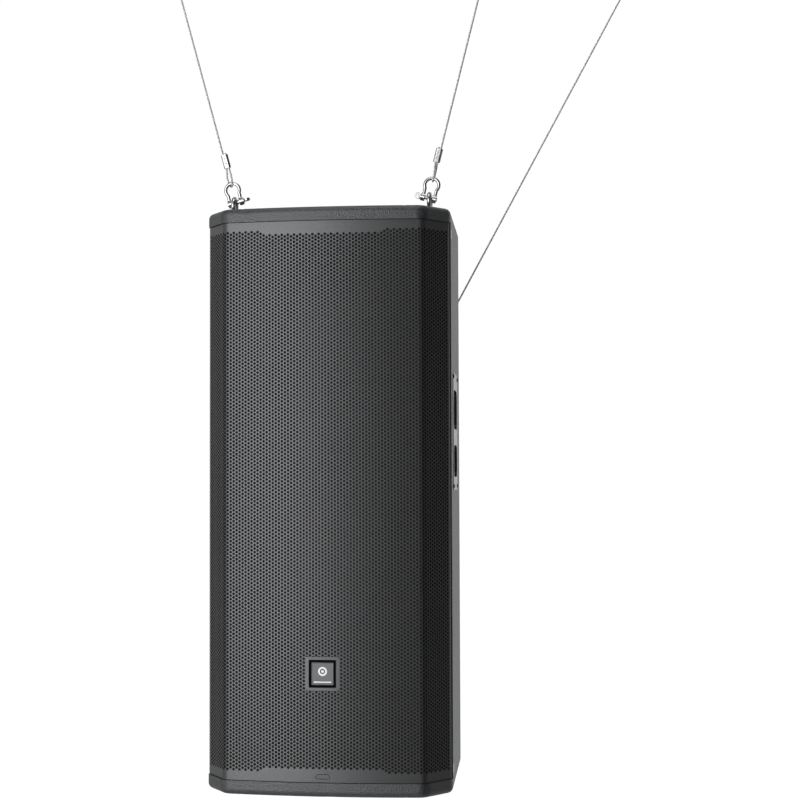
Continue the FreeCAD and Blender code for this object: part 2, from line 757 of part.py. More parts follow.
def make_display():
    """The window over the small screen."""
    floor = rear_depth - control_depth
    glass = rounded_block(64.0, 40.0, 2.0, 3.0, at(display_x - 2, floor, 448))
    return joined([glass, block(display_x - 25.5, display_x + 25.5, floor - 2.4, floor + 1, 434.5, 461.5)])


def make_mains_module():
    """The mains inlet and the switch's frame: a hollow housing with three blades, and a well."""
    floor = rear_depth - control_depth
    flange = rounded_block(88.0, 33.0, 2.5, 4.0, at((inlet_x + switch_x) / 2 - 5, floor, mains_height))
    body = block(inlet_x - 21.5, inlet_x + 21.5, floor - 24, floor + 1, mains_height - 12.5,
                 mains_height + 12.5)
    frame = block(switch_x - 10.8, switch_x + 10.8, floor - 20, floor + 1, mains_height - 13.8,
                  mains_height + 13.8)
    module = joined([flange, body, frame])
    module = module.cut(block(inlet_x - 13, inlet_x + 13, floor - 17, floor + 4, mains_height - 8.5,
                              mains_height + 8.5))
    module = module.cut(block(switch_x - 8.5, switch_x + 8.5, floor - 14, floor + 4, mains_height - 12,
                              mains_height + 12))
    module = module.cut(rod(1.55, 21.0, at(switch_x - 10.5, floor - 4, mains_height), X_AXIS))
    blades = [block(inlet_x + x - 1, inlet_x + x + 1, floor - 18, floor - 3, mains_height + up - 2.5,
                    mains_height + up + 2.5) for x, up in ((-7.0, -2.0), (0.0, 3.0), (7.0, -2.0))]
    return joined([module] + blades)


def make_rocker():
    """The rocker of the mains switch on its pivot pin, with one end pressed in."""
    floor = rear_depth - control_depth
    profile = [(-10.5, -2.0), (-10.0, 4.5), (0.0, 2.2), (10.0, 4.5), (10.5, -2.0), (0.0, -8.0)]
    corners = [V(-8.2, back, up) for up, back in profile]
    body = Part.Face(Part.makePolygon(corners + corners[:1])).extrude(V(16.4, 0, 0))
    pin = rod(1.5, 20.0, V(-10.0, 0, 0), X_AXIS)
    rocker = joined([body, pin])
    rocker.rotate(V(0, 0, 0), X_AXIS, rocker_rest)
    rocker.translate(at(switch_x, floor - 4, mains_height))
    return rocker


# ---------------------------------------------------------------- screws

def make_screws():
    """Every screw of the cabinet, each a head and a shank."""
    screws = []

    def screw(point, out, head, head_length, shank, length):
        screws.append(joined([rod(head, head_length, point, out),
                              rod(shank, length, point - out * (length - 1), out)]))

    for height in woofer_heights.values():
        for x, high in around(height, screw_circle, 8):
            screw(at(x, baffle_depth - 8, high), -Y_AXIS, 5.5, 3.0, 1.7, 22.0)
    for x, high in amp_screw_places():
        screw(at(x, rear_depth - 2, high), Y_AXIS, 3.8, 1.6, 1.5, 14.0)
    for x, depth in grille_screw_places():
        screw(at(x, depth, cabinet_height - 8.0), Z_AXIS, 4.2, 3.0, 1.7, 21.0)
        screw(at(x, depth, 8.0), -Z_AXIS, 4.2, 3.0, 1.7, 21.0)
    for along, up in handle_screw_places():
        head = rod(3.6, 1.6, V(along, -handle_proud - 1.6, up), Y_AXIS)
        one = joined([head, rod(1.5, 14.0, V(along, -handle_proud - 0.4, up), Y_AXIS)])
        screws.append(on_side(one))
        screws.append(mirrored(on_side(one)))
    return screws


# ---------------------------------------------------------------- rigging

class Sling:
    """One rope with its shackle: where its pin is, and the directions of the pin and of the pull."""

    def __init__(self, eye_centre, ring_normal, pull, rise, hand, strand_skew, eye_flat):
        self.pull = V(pull).normalize()
        self.pin_axis = Y_AXIS.cross(self.pull).normalize()
        in_plane = self.pull - ring_normal * self.pull.dot(ring_normal)
        bar_centre = eye_centre + in_plane.normalize() * (eye_hole + eye_bar)
        self.pin = bar_centre - self.pull * (eye_bar + pin_radius + pin_clearance)
        self.rise = rise
        self.hand = hand
        self.strand_skew = strand_skew
        self.eye_flat = eye_flat

    def place(self, shape):
        """Places a shape drawn with X along the pin, Z along the pull and its origin at the pin."""
        return placed(shape, self.pin, self.pin_axis, self.pull)


def lean(degrees):
    """The direction of a pull that leans sideways from upright."""
    return V(math.sin(math.radians(degrees)), 0, math.cos(math.radians(degrees)))


def make_slings():
    """The two front slings and the rear one."""
    top = cabinet_height + eye_centre_rise
    rear_centre = at(0, rear_depth + eye_centre_rise, rear_eye_height)
    return {
        "left": Sling(at(-eyebolt_x, eyebolt_depth, top), X_AXIS, lean(-15.2), 422.4, 1, 1.0, True),
        "right": Sling(at(eyebolt_x, eyebolt_depth, top), X_AXIS, lean(14.3), 420.7, -1, 0.0, False),
        "rear": Sling(rear_centre, rear_ring_normal(), rear_pull, 1193.8, -1, 0.4, False),
    }


def rear_ring_normal():
    """The rear eyebolt's ring is turned so that its hole faces the shackle's pin."""
    return Y_AXIS.cross(rear_pull).normalize()


def make_eyebolt(base, out, ring_normal):
    """A collared eyebolt screwed into an insert."""
    centre = base + out * eye_centre_rise
    eye = Part.makeTorus(eye_hole + eye_bar, eye_bar, centre, ring_normal)
    collar = Part.makeCone(11.0, 7.0, 4.0, base, out)
    shank = rod(4.2, 26.0, base - out * 22.0, out)
    return joined([eye, collar, shank])


def make_shackle_bow():
    """A bow shackle's body, drawn about its pin: X along the pin and Z towards the bow."""
    leg = jaw_half + ear_thickness / 2
    radius = bow_hole + shackle_bar
    centre = bow_inside + shackle_bar - radius
    flare = math.radians(30)
    neck = (radius * math.cos(flare) - leg) / (1 - math.cos(flare))
    meet = V(radius * math.cos(flare), 0, centre - radius * math.sin(flare))
    start = meet.z - neck * math.sin(flare)
    half_turn = flare / 2
    middle = V(leg + neck - neck * math.cos(half_turn), 0, start + neck * math.sin(half_turn))

    def other(point):
        return V(-point.x, point.y, point.z)

    foot, knee = V(leg, 0, 0), V(leg, 0, start)
    path = Part.Wire([
        Part.LineSegment(foot, knee).toShape(),
        Part.Arc(knee, middle, meet).toShape(),
        Part.Arc(meet, V(0, 0, centre + radius), other(meet)).toShape(),
        Part.Arc(other(meet), other(middle), other(knee)).toShape(),
        Part.LineSegment(other(knee), other(foot)).toShape(),
    ])
    section = Part.Wire(Part.makeCircle(shackle_bar, foot, Z_AXIS))
    body = path.makePipeShell([section], True, False)
    ears = [rod(ear_radius, ear_thickness, V(jaw_half, 0, 0), X_AXIS),
            rod(ear_radius, ear_thickness, V(-jaw_half, 0, 0), -X_AXIS)]
    return joined([body] + ears).cut(rod(pin_radius + 0.05, 60.0, V(-30, 0, 0), X_AXIS))


def make_shackle_pin(eye_flat):
    """The screw pin: a shank, a collar and a flat eye to turn it by."""
    ear = jaw_half + ear_thickness
    shank = rod(pin_radius, 2 * ear + 1.5, V(-ear - 1.5, 0, 0), X_AXIS)
    collar = rod(6.0, 2.0, V(ear, 0, 0), X_AXIS)
    normal = Z_AXIS if eye_flat else Y_AXIS
    middle = V(ear + 7.5, 0, 0)
    eye = rod(6.2, 4.0, middle - normal * 2, normal).cut(rod(2.4, 6.0, middle - normal * 3, normal))
    return joined([shank, collar, eye])


def rope_route(sling):
    """The rope's corner points about the shackle's pin: loop, standing part and upper loop."""
    hand, skew = sling.hand, sling.strand_skew
    dead = 2 * strand_offset * hand
    low = bow_inside + 2 * shackle_bar + loop_length
    round_bow = shackle_bar + rope_radius + rope_clearance
    under = bow_inside + shackle_bar - round_bow
    shoulder = bow_inside + shackle_bar + loop_shoulder
    round_eye = anchor_bar + rope_radius + rope_clearance
    top = sling.rise + ferrule_length
    over = top + anchor_loop + round_eye
    return [
        V(dead, 0, low + ferrule_length + 3),
        V(dead, 0, low),
        V(hand * 6.0 * skew, -round_bow, shoulder),
        V(hand * 2.5 * skew, -round_bow, under),
        V(-hand * 2.5 * skew, round_bow, under),
        V(-hand * 6.0 * skew, round_bow, shoulder),
        V(0, 0, low),
        V(0, 0, top),
        V(0, -round_eye, over - 17),
        V(0, -round_eye, over),
        V(0, round_eye, over),
        V(hand, round_eye, over - 17),
        V(dead, 0, top),
        V(dead, 0, top - ferrule_length - 3),
    ]


def rounded_route(points):
    """Straight runs joined by tangent arcs, each as large as its two runs allow, and their radii."""
    edges, radii, last = [], [], points[0]
    for before, corner, after in zip(points, points[1:], points[2:]):
        into, out = (corner - before).normalize(), (after - corner).normalize()
        half_turn = into.getAngle(out) / 2
        cut = 0.45 * min(corner.distanceToPoint(before), corner.distanceToPoint(after))
        radius = cut / math.tan(half_turn)
        radii.append(radius)
        start, end = corner - into * cut, corner + out * cut
        inward = (out - into).normalize()
        middle = corner + inward * (radius / math.cos(half_turn) - radius)
        edges.append(Part.LineSegment(last, start).toShape())
        edges.append(Part.Arc(start, middle, end).toShape())
        last = end
    edges.append(Part.LineSegment(last, points[-1]).toShape())
    return Part.Wire(edges), radii


def make_rope(name, sling):
    """The wire rope, drawn about its shackle's pin."""
    points = rope_route(sling)
    path, radii = rounded_route(points)
    section = Part.Wire(Part.makeCircle(rope_radius, points[0], points[1] - points[0]))
    rope = path.makePipeShell([section], True, False)
    expected = math.pi * rope_radius ** 2 * path.Length
    print("%s rope: %.1f mm long, volume over section times length %.4f, radii %s"
          % (name, path.Length, rope.Volume / expected, " ".join("%.1f" % r for r in radii)))
    return rope


def make_ferrule(hand, low):
    """An oval sleeve pressed on two strands, with a dimple on each flat side."""
    middle = hand * strand_offset
    radius = ferrule_half_thickness
    half = ferrule_flat
    body = joined([
        Part.makeBox(2 * half, 2 * radius, ferrule_length, V(middle - half, -radius, low)),
        rod(radius, ferrule_length, V(middle - half, 0, low), Z_AXIS),
        rod(radius, ferrule_length, V(middle + half, 0, low), Z_AXIS)])
    body = body.cut(rod(rope_radius, ferrule_length + 2, V(0, 0, low - 1), Z_AXIS))
    body = body.cut(rod(rope_radius, ferrule_length + 2, V(2 * middle, 0, low - 1), Z_AXIS))
    for face in (-1, 1):
        outside = face * (radius + dimple_radius - dimple_depth)
        for up in (ferrule_length / 3, 2 * ferrule_length / 3):
            body = body.cut(Part.makeSphere(dimple_radius, V(middle, outside, low + up)))
    return body


def make_anchor(sling):
    """The ceiling eye that the upper loop hangs from, with its upright M10 stud."""
    centre_along = sling.rise + ferrule_length + anchor_loop + anchor_hole + anchor_bar
    centre = sling.pin + sling.pull * centre_along
    normal = sling.pull.cross(sling.pin_axis)
    reach = anchor_hole + anchor_bar
    eye = Part.makeTorus(reach, anchor_bar, centre, normal)
    collar = Part.makeCone(7.0, 11.0, 5.0, centre + Z_AXIS * (reach + 2), Z_AXIS)
    stud = rod(5.0, 30.0, centre + Z_AXIS * (reach + 7), Z_AXIS)
    print("anchor stud from %s along +Z" % (centre + Z_AXIS * (reach + 7)))
    return joined([eye, collar, stud])


def save_rigging():
    """Every node of the eyebolts and the three slings."""
    eyebolts = [make_eyebolt(at(sign * eyebolt_x, eyebolt_depth, cabinet_height), Z_AXIS, X_AXIS)
                for sign in (-1, 1)]
    eyebolts.append(make_eyebolt(at(0, rear_depth, rear_eye_height), Y_AXIS, rear_ring_normal()))
    save_group("eyebolts", eyebolts)
    for name, sling in make_slings().items():
        print(name, "pin at", sling.pin, "axis", sling.pin_axis, "pull", sling.pull)
        pin = make_shackle_pin(sling.eye_flat)
        if sling.hand < 0:
            pin = mirrored(pin)
        low = bow_inside + 2 * shackle_bar + loop_length
        sleeves = [make_ferrule(sling.hand, low), make_ferrule(sling.hand, sling.rise)]
        save("%s_shackle_bow" % name, sling.place(make_shackle_bow()))
        save("%s_shackle_pin" % name, sling.place(pin))
        save("%s_rope" % name, sling.place(make_rope(name, sling)))
        save_group("%s_ferrules" % name, [sling.place(sleeve) for sleeve in sleeves])
        save("%s_ceiling_eye" % name, make_anchor(sling))


# ---------------------------------------------------------------- all nodes

def save_cabinet():
    """The boards, the feet and the inserts."""
    panel, corner, handle = make_side_panel(), make_rear_corner(), make_handle()
    save("top_cap", make_cap(True))
    save("bottom_cap", make_cap(False))
    save("side_panel_right", panel)
    save("side_panel_left", mirrored(panel))
    save("rear_panel", make_rear_panel())
    save_group("rear_corner_panels", [corner, mirrored(corner)])
    save("front_baffle", make_baffle())
    save("window_brace", make_brace())
    save_group("port_ducts", [make_port_duct(-1), make_port_duct(1)])
    save("handle_right", handle)
    save("handle_left", mirrored(handle))
    save_group("feet", [make_foot(x, depth) for x, depth in
                        ((-150.0, 72.0), (150.0, 72.0), (-130.0, 420.0), (130.0, 420.0))])
    save_group("flypoint_inserts", [make_insert(*place) for place in insert_places()])
    save_group("cabinet_screws", make_screws())


def save_front():
    """The grille and what it carries."""
    save("grille", make_grille())
    save("grille_foam", make_foam())
    save("badge", make_badge())
    save("status_light", make_light())


def save_drivers():
    """The two woofers, the horn and its driver."""
    for name, height in woofer_heights.items():
        save("%s_woofer_basket" % name, make_basket(height))
        save_group("%s_woofer_motor" % name, make_motor(height))
        save("%s_woofer_spider" % name, make_spider(height))
        save("%s_woofer_surround" % name, make_surround(height))
        save_group("%s_woofer_cone" % name, make_cone(height))
        save("%s_woofer_voice_coil" % name, make_voice_coil(height))
    save("horn", make_horn())
    save("compression_driver", make_compression_driver())


def save_amplifier():
    """The amplifier and its controls."""
    save("amp_panel", make_amp_panel())
    save("amp_chassis", make_chassis())
    save_group("amp_boards", [make_amp_board(), make_power_supply()])
    save("display_window", make_display())
    save_group("signal_sockets", make_combo_sockets() + [make_link_socket()])
    for number, x in enumerate(combo_x, 1):
        save("release_tab_%d" % number, make_tab(x))
    save("encoder_body", make_encoder_body())
    save("encoder_shaft", make_encoder_shaft())
    save("encoder_knob", make_knob())
    save("mains_module", make_mains_module())
    save("switch_rocker", make_rocker())


os.makedirs("parts", exist_ok=True)
save_cabinet()
save_front()
save_drivers()
save_amplifier()
save_rigging()
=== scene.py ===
import json
import math
import bpy
import numpy as np
from mathutils import Matrix, Vector
from mathutils.geometry import tessellate_polygon


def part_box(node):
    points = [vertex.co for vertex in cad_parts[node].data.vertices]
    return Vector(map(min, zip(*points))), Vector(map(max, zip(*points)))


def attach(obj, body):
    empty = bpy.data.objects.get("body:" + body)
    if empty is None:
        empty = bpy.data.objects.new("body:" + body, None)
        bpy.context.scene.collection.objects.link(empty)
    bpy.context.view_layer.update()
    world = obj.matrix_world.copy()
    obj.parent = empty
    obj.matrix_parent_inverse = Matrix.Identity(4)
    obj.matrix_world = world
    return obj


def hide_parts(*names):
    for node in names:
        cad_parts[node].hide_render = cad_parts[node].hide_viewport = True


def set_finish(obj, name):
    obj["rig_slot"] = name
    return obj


# A hung two-way loudspeaker cabinet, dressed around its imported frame: ropes, perforated grille and finishes.
# Everything is in metres in the row frame: X across the cabinet, Y to its back, Z up.

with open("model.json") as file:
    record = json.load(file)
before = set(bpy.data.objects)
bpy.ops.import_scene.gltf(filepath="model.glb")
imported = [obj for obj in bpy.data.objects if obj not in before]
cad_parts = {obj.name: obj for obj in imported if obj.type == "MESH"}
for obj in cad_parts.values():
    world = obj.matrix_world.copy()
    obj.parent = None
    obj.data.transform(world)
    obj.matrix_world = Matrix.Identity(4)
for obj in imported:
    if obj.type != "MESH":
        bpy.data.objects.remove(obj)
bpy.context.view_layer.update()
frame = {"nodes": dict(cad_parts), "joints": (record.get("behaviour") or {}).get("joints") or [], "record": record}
nodes = frame["nodes"]


# ---------------------------------------------------------------- camera

camera_place = Vector((0.5772, -3.3831, 0.5932))
camera_lens = 79.3
camera_turn, camera_tilt, camera_roll = (math.radians(a) for a in (7.86, 2.293, -0.194))


def make_camera():
    """The camera in front of the cabinet, a little to its right and looking slightly up."""
    data = bpy.data.cameras.new("camera")
    data.lens = camera_lens
    data.clip_end = 60.0
    camera = bpy.data.objects.new("camera", data)
    bpy.context.scene.collection.objects.link(camera)
    camera.matrix_world = (Matrix.Translation(camera_place)
                           @ Matrix.Rotation(camera_turn, 4, "Z")
                           @ Matrix.Rotation(math.pi / 2 + camera_tilt, 4, "X")
                           @ Matrix.Rotation(camera_roll, 4, "Z"))
    bpy.context.scene.camera = camera


# ---------------------------------------------------------------- pieces

def new_piece(name, points, faces, body, slot):
    """A mesh piece that rides on a body and takes its finish from a slot."""
    mesh = bpy.data.meshes.new(name)
    mesh.from_pydata(points, [], faces)
    mesh.update()
    piece = bpy.data.objects.new(name, mesh)
    bpy.context.scene.collection.objects.link(piece)
    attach(piece, body)
    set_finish(piece, slot)
    return piece


def smooth(piece, sharp_degrees):
    """Smooth shading, with edges sharper than an angle kept crisp."""
    piece.data.polygons.foreach_set("use_smooth", [True] * len(piece.data.polygons))
    piece.data.set_sharp_from_angle(angle=math.radians(sharp_degrees))


# ---------------------------------------------------------------- wire ropes

# The rope, and how far its two parts lie from each other's middle in a ferrule.
rope_diameter = 0.004
strand_offset = 0.00215
lay_length = 0.026
strands = 6
strand_sections, steps_per_lay = 8, 14
wires_round, wires_along = 6, 9
route_resolution = 48

# What it goes round: radii of the bars, the bow's inside above the pin, and the eye above its ferrule.
shackle_bar, anchor_bar = 0.00325, 0.004
bow_inside, anchor_loop = 0.0345, 0.034

# The route's points: from the bow to the ferrule, past the ferrule's ends, and round bow and eye;
# and how far the two front ropes lean from upright.
loop_length, loop_shoulder = 0.0275, 0.01175
ferrule_length, ferrule_overhang, ferrule_far_point = 0.026, 0.003, 0.024
leg_spread, bow_spread = 0.006, 0.0025
rope_clearance, rope_slack, bow_rise = 0.00015, 0.0001, 0.0003
eye_lead, eye_lean = 0.017, 0.001
lean_left, lean_right = math.radians(-15.2), math.radians(14.3)


class Sling:
    """One rope about its shackle's pin: X along the pin, Z along the pull."""

    def __init__(self, side, pull, rise, length, hand, skew):
        swing = next(j for j in frame["joints"] if j["name"] == side + "_shackle_swing")
        along = Vector(pull).normalized()
        across = Vector(swing["axis"]).normalized()
        turned = Matrix((across, along.cross(across), along)).transposed().to_4x4()
        self.matrix = Matrix.Translation(swing["pos_m"]) @ turned
        self.side, self.rise, self.length = side, rise, length
        self.hand, self.skew = hand, skew

    def route(self):
        """The rope's control points: dead end, loop round the bow, standing part and upper loop."""
        hand, skew = self.hand, self.skew
        dead = 2 * strand_offset * hand
        low = bow_inside + 2 * shackle_bar + loop_length
        round_bow = shackle_bar + rope_diameter / 2 + rope_clearance
        under = bow_inside + shackle_bar - round_bow - bow_rise
        shoulder = bow_inside + shackle_bar + loop_shoulder
        round_eye = anchor_bar + rope_diameter / 2 + rope_clearance
        top = self.rise + ferrule_length
        over = top + anchor_loop + round_eye
        return [
            (dead, 0, low + ferrule_length + ferrule_overhang),
            (dead, 0, low - ferrule_overhang),
            (hand * leg_spread * skew, -round_bow - rope_slack, shoulder),
            (hand * bow_spread * skew, -round_bow - rope_slack, under),
            (-hand * bow_spread * skew, round_bow + rope_slack, under),
            (-hand * leg_spread * skew, round_bow + rope_slack, shoulder),
            (0, 0, low - ferrule_overhang),
            (0, 0, low + ferrule_far_point),
            (0, 0, top - ferrule_far_point),
            (0, 0, top + ferrule_overhang),
            (0, -round_eye, over - eye_lead),
            (0, -round_eye, over),
            (0, round_eye, over),
            (hand * eye_lean, round_eye, over - eye_lead),
            (dead, 0, top + ferrule_overhang),
            (dead, 0, top - ferrule_length - ferrule_overhang),
        ]


def spline_points(name, controls):
    """Points along the smooth NURBS line that has these control points."""
    curve = bpy.data.curves.new(name, "CURVE")
    curve.dimensions = "3D"
    curve.resolution_u = route_resolution
    spline = curve.splines.new("NURBS")
    spline.points.add(len(controls) - 1)
    for point, place in zip(spline.points, controls):
        point.co = (*place, 1)
    spline.order_u = 3
    spline.use_endpoint_u = True
    carrier = bpy.data.objects.new(name, curve)
    line = bpy.data.meshes.new_from_object(carrier)
    points = np.array([v.co for v in line.vertices])
    bpy.data.objects.remove(carrier)
    bpy.data.meshes.remove(line)
    return points


def evenly(points, step):
    """The same line as points an even distance apart, and that distance."""
    along = np.concatenate([[0], np.cumsum(np.linalg.norm(np.diff(points, axis=0), axis=1))])
    count = int(along[-1] / step)
    wanted = np.linspace(0, along[-1], count + 1)
    return np.stack([np.interp(wanted, along, points[:, k]) for k in range(3)], 1), along[-1] / count


def carried_frames(line):
    """Two directions square to a line at each of its points, carried along without twist."""
    tangents = np.gradient(line, axis=0)
    tangents /= np.linalg.norm(tangents, axis=1)[:, None]
    side = np.cross(tangents[0], (0, 1, 0))
    sides = []
    for tangent in tangents:
        side = side - tangent * side.dot(tangent)
        side = side / np.linalg.norm(side)
        sides.append(side)
    sides = np.array(sides)
    return sides, np.cross(tangents, sides)


def make_rope(sling):
    """Six strands laid round a core, along the sling's route."""
    controls = [sling.matrix @ Vector(p) for p in sling.route()]
    line, step = evenly(spline_points(sling.side + "_route", controls), lay_length / steps_per_lay)
    sides, ups = carried_frames(line)
    strand_radius = rope_diameter / 6
    sections = strand_sections
    around = np.arange(sections) * 2 * math.pi / sections
    turn = np.arange(len(line)) * step / lay_length * 2 * math.pi
    points, faces, lays = [], [], []
    for strand in range(strands + 1):
        reach = 2 * strand_radius if strand < strands else 0.0
        angle = turn + strand * 2 * math.pi / strands
        centre = line + reach * (np.cos(angle)[:, None] * sides + np.sin(angle)[:, None] * ups)
        spin = angle[:, None] + around[None, :]
        outwards = (np.cos(spin)[:, :, None] * sides[:, None, :]
                    + np.sin(spin)[:, :, None] * ups[:, None, :])
        ring = centre[:, None, :] + strand_radius * outwards
        base = len(points) * sections * len(line)
        points.append(ring.reshape(-1, 3))
        for i in range(len(line) - 1):
            for k in range(sections):
                near, far = base + i * sections, base + (i + 1) * sections
                after = (k + 1) % sections
                faces.append((near + k, near + after, far + after, far + k))
                lays += [(i, k), (i, k + 1), (i + 1, k + 1), (i + 1, k)]
        end = base + (len(line) - 1) * sections
        faces.append(tuple(base + k for k in reversed(range(sections))))
        faces.append(tuple(end + k for k in range(sections)))
        lays += [(0, 0)] * (2 * sections)
    rope = new_piece(sling.side + "_wire_rope", np.concatenate(points), faces,
                     sling.side + "_sling", "rope_steel")
    layer = rope.data.uv_layers.new(name="lay")
    layer.data.foreach_set("uv", (np.array(lays) * (step / lay_length, 1 / sections)).ravel())
    smooth(rope, 60)
    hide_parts(sling.side + "_rope")
    return rope


def make_ropes():
    """The two front slings and the rear one."""
    return [make_rope(sling) for sling in (
        Sling("left", (math.sin(lean_left), 0, math.cos(lean_left)),
              rise=0.4224, length=0.6094, hand=1, skew=1.0),
        Sling("right", (math.sin(lean_right), 0, math.cos(lean_right)),
              rise=0.4207, length=0.6058, hand=-1, skew=0.0),
        Sling("rear", (0.5348, 0.2015, 1.0367),
              rise=1.1938, length=1.379, hand=-1, skew=0.4))]


# ---------------------------------------------------------------- grille

# The two folds of each side in plan, as distance from the middle and depth behind the front.
bend_a, bend_b = (0.18427, 0.0121), (0.22544, 0.0691)
bend_a_radius, bend_b_radius = 0.014, 0.005
back_heading = math.radians(93.5)
sheet = 0.0015

# The holes: rows a pitch apart, in hexagonal cells whose side is named cell.
pitch = 0.006615
cell = 0.00383
hole_radius, hole_sides = 0.00265, 12
columns_each_side, rows = 43, 148
section_sizes = (18, 17, 17, 17, 18)
badge_height, rows_below_badge = 0.2273, 26
first_row_height = badge_height - rows_below_badge * pitch

# The cells left out: the badge's, and a row at the top and bottom within step_half of the middle.
badge_columns, badge_rows_each_side = 5, 4
step_half = 0.112

# The status light's slot in the lower band.
light_columns = 3
light_middle, light_half, light_half_height = 0.043, 0.0133, 0.0045

grille_low, grille_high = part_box("grille")


class Outline:
    """The grille's outer face in plan: runs of steady curvature out from the middle, the same each side."""

    def __init__(self):
        radius = (bend_a[0] ** 2 + bend_a[1] ** 2) / (2 * bend_a[1])
        heading_a = math.asin(bend_a[0] / radius)
        reach = (bend_b[0] - bend_a[0], bend_b[1] - bend_a[1])
        heading_b = math.atan2(reach[1], reach[0])
        cut_a = bend_a_radius * math.tan((heading_b - heading_a) / 2)
        cut_b = bend_b_radius * math.tan((back_heading - heading_b) / 2)
        front = radius * heading_a - cut_a
        turn_a = heading_b - front / radius
        self.runs = [(front, 1 / radius),
                     (turn_a * bend_a_radius, 1 / bend_a_radius),
                     (math.hypot(*reach) - cut_a - cut_b, 0.0),
                     ((back_heading - heading_b) * bend_b_radius, 1 / bend_b_radius)]
        self.marks = np.cumsum([length for length, _ in self.runs])
        end_depth = grille_high.y - grille_low.y
        back = (end_depth - self.place(np.array([self.marks[-1]]), 0.0)[0, 1]) / math.sin(back_heading)
        self.runs.append((back, 0.0))
        self.half = self.marks[-1] + back

    def place(self, along, inset):
        """(x, depth) of points at signed distances along the outline, moved inwards by an inset."""
        left = np.abs(along)
        x, depth, heading = (np.zeros_like(left) for _ in range(3))
        for number, (length, curvature) in enumerate(self.runs):
            final = number == len(self.runs) - 1
            part = np.maximum(left, 0) if final else np.clip(left, 0, length)
            if curvature:
                x += (np.sin(heading + part * curvature) - np.sin(heading)) / curvature
                depth += (np.cos(heading) - np.cos(heading + part * curvature)) / curvature
                heading = heading + part * curvature
            else:
                x += part * np.cos(heading)
                depth += part * np.sin(heading)
            left = left - length
        x -= inset * np.sin(heading)
        depth += inset * np.cos(heading)
        return np.stack([np.sign(along) * x, depth], -1)


outline = Outline()


def folded_shell(name, flat, faces, outer, inner, body, slot):
    """A closed shell from faces drawn on the unrolled outline as (along, height), between two insets."""
    flat = np.array(flat)
    used = {}
    for face in faces:
        for a, b in zip(face, face[1:] + face[:1]):
            used[(a, b)] = used.get((a, b), 0) + 1
    rim = [(a, b) for a, b in used if (b, a) not in used]
    count = len(flat)
    skins = []
    for inset in (outer, inner):
        plan = outline.place(flat[:, 0], inset)
        skins.append(np.stack([plan[:, 0], grille_low.y + plan[:, 1], flat[:, 1]], 1))
    back = [tuple(count + i for i in reversed(face)) for face in faces]
    walls = [(b, a, a + count, b + count) for a, b in rim]
    return new_piece(name, np.concatenate(skins), list(faces) + back + walls, body, slot)


class Perforation:
    """Hexagonal cells on the unrolled outline, each with a round hole unless it is left blank."""

    def __init__(self):
        self.flat, self.faces, self.lattice = [], [], {}

    def corner(self, across, up):
        """A corner of the cells, in half cells across and half pitches up."""
        if (across, up) not in self.lattice:
            self.lattice[across, up] = len(self.flat)
            self.flat.append((across * cell / 2, first_row_height + up * pitch / 2))
        return self.lattice[across, up]

    def loose(self, along, height):
        """A point of its own."""
        self.flat.append((along, height))
        return len(self.flat) - 1

    def add_cell(self, column, up, blank):
        """One cell, whose middle is a column and a number of half pitches up."""
        middle = 3 * column
        corners = [self.corner(middle + dx, up + dz)
                   for dx, dz in ((2, 0), (1, 1), (-1, 1), (-2, 0), (-1, -1), (1, -1))]
        if blank:
            self.faces.append(tuple(corners))
            return
        along, height = middle * cell / 2, first_row_height + up * pitch / 2
        turns = [2 * math.pi * i / hole_sides for i in range(hole_sides)]
        hole = [self.loose(along + hole_radius * math.cos(t), height + hole_radius * math.sin(t))
                for t in turns]
        for i in range(hole_sides):
            after = (i + 1) % hole_sides
            near, far = round(i * 6 / hole_sides) % 6, round((i + 1) * 6 / hole_sides) % 6
            face = (hole[i], corners[near], corners[far], hole[after])
            self.faces.append(face if near != far else (hole[i], corners[near], hole[after]))


def badge_rows(column, up):
    """How many half pitches a cell is above or below the badge's middle, if it is in the badge's columns."""
    return abs(up - 2 * rows_below_badge) if abs(column) <= badge_columns else rows


def is_open(column, up):
    """The cells that the badge's surround stands in for."""
    return abs(column) < badge_columns and badge_rows(column, up) <= 2 * badge_rows_each_side


def is_blank(column, up):
    """Cells beside the badge, and one row at the top and bottom of the middle, have no hole."""
    below = up + column % 2
    above = 2 * (rows - 1) + column % 2 - up
    if abs(1.5 * cell * column) < step_half and min(below, above) < 2:
        return True
    return badge_rows(column, up) <= 2 * badge_rows_each_side


def edge_line(columns, side, ends):
    """The lattice places along the upper or lower edge of the cells, and the places that join neighbours."""
    def limit(column):
        return 2 * rows - 1 + column % 2 if side > 0 else -1 - column % 2

    line = []
    for column in columns:
        line += [(3 * column - 1, limit(column)), (3 * column + 1, limit(column))]
    first, final = columns[0], columns[-1]
    if ends[0]:
        line.insert(0, (3 * first - 2, limit(first) - side))
    line.append((3 * final + 2, limit(final) - side) if ends[1] else (3 * final + 2, limit(final + 1)))
    return line


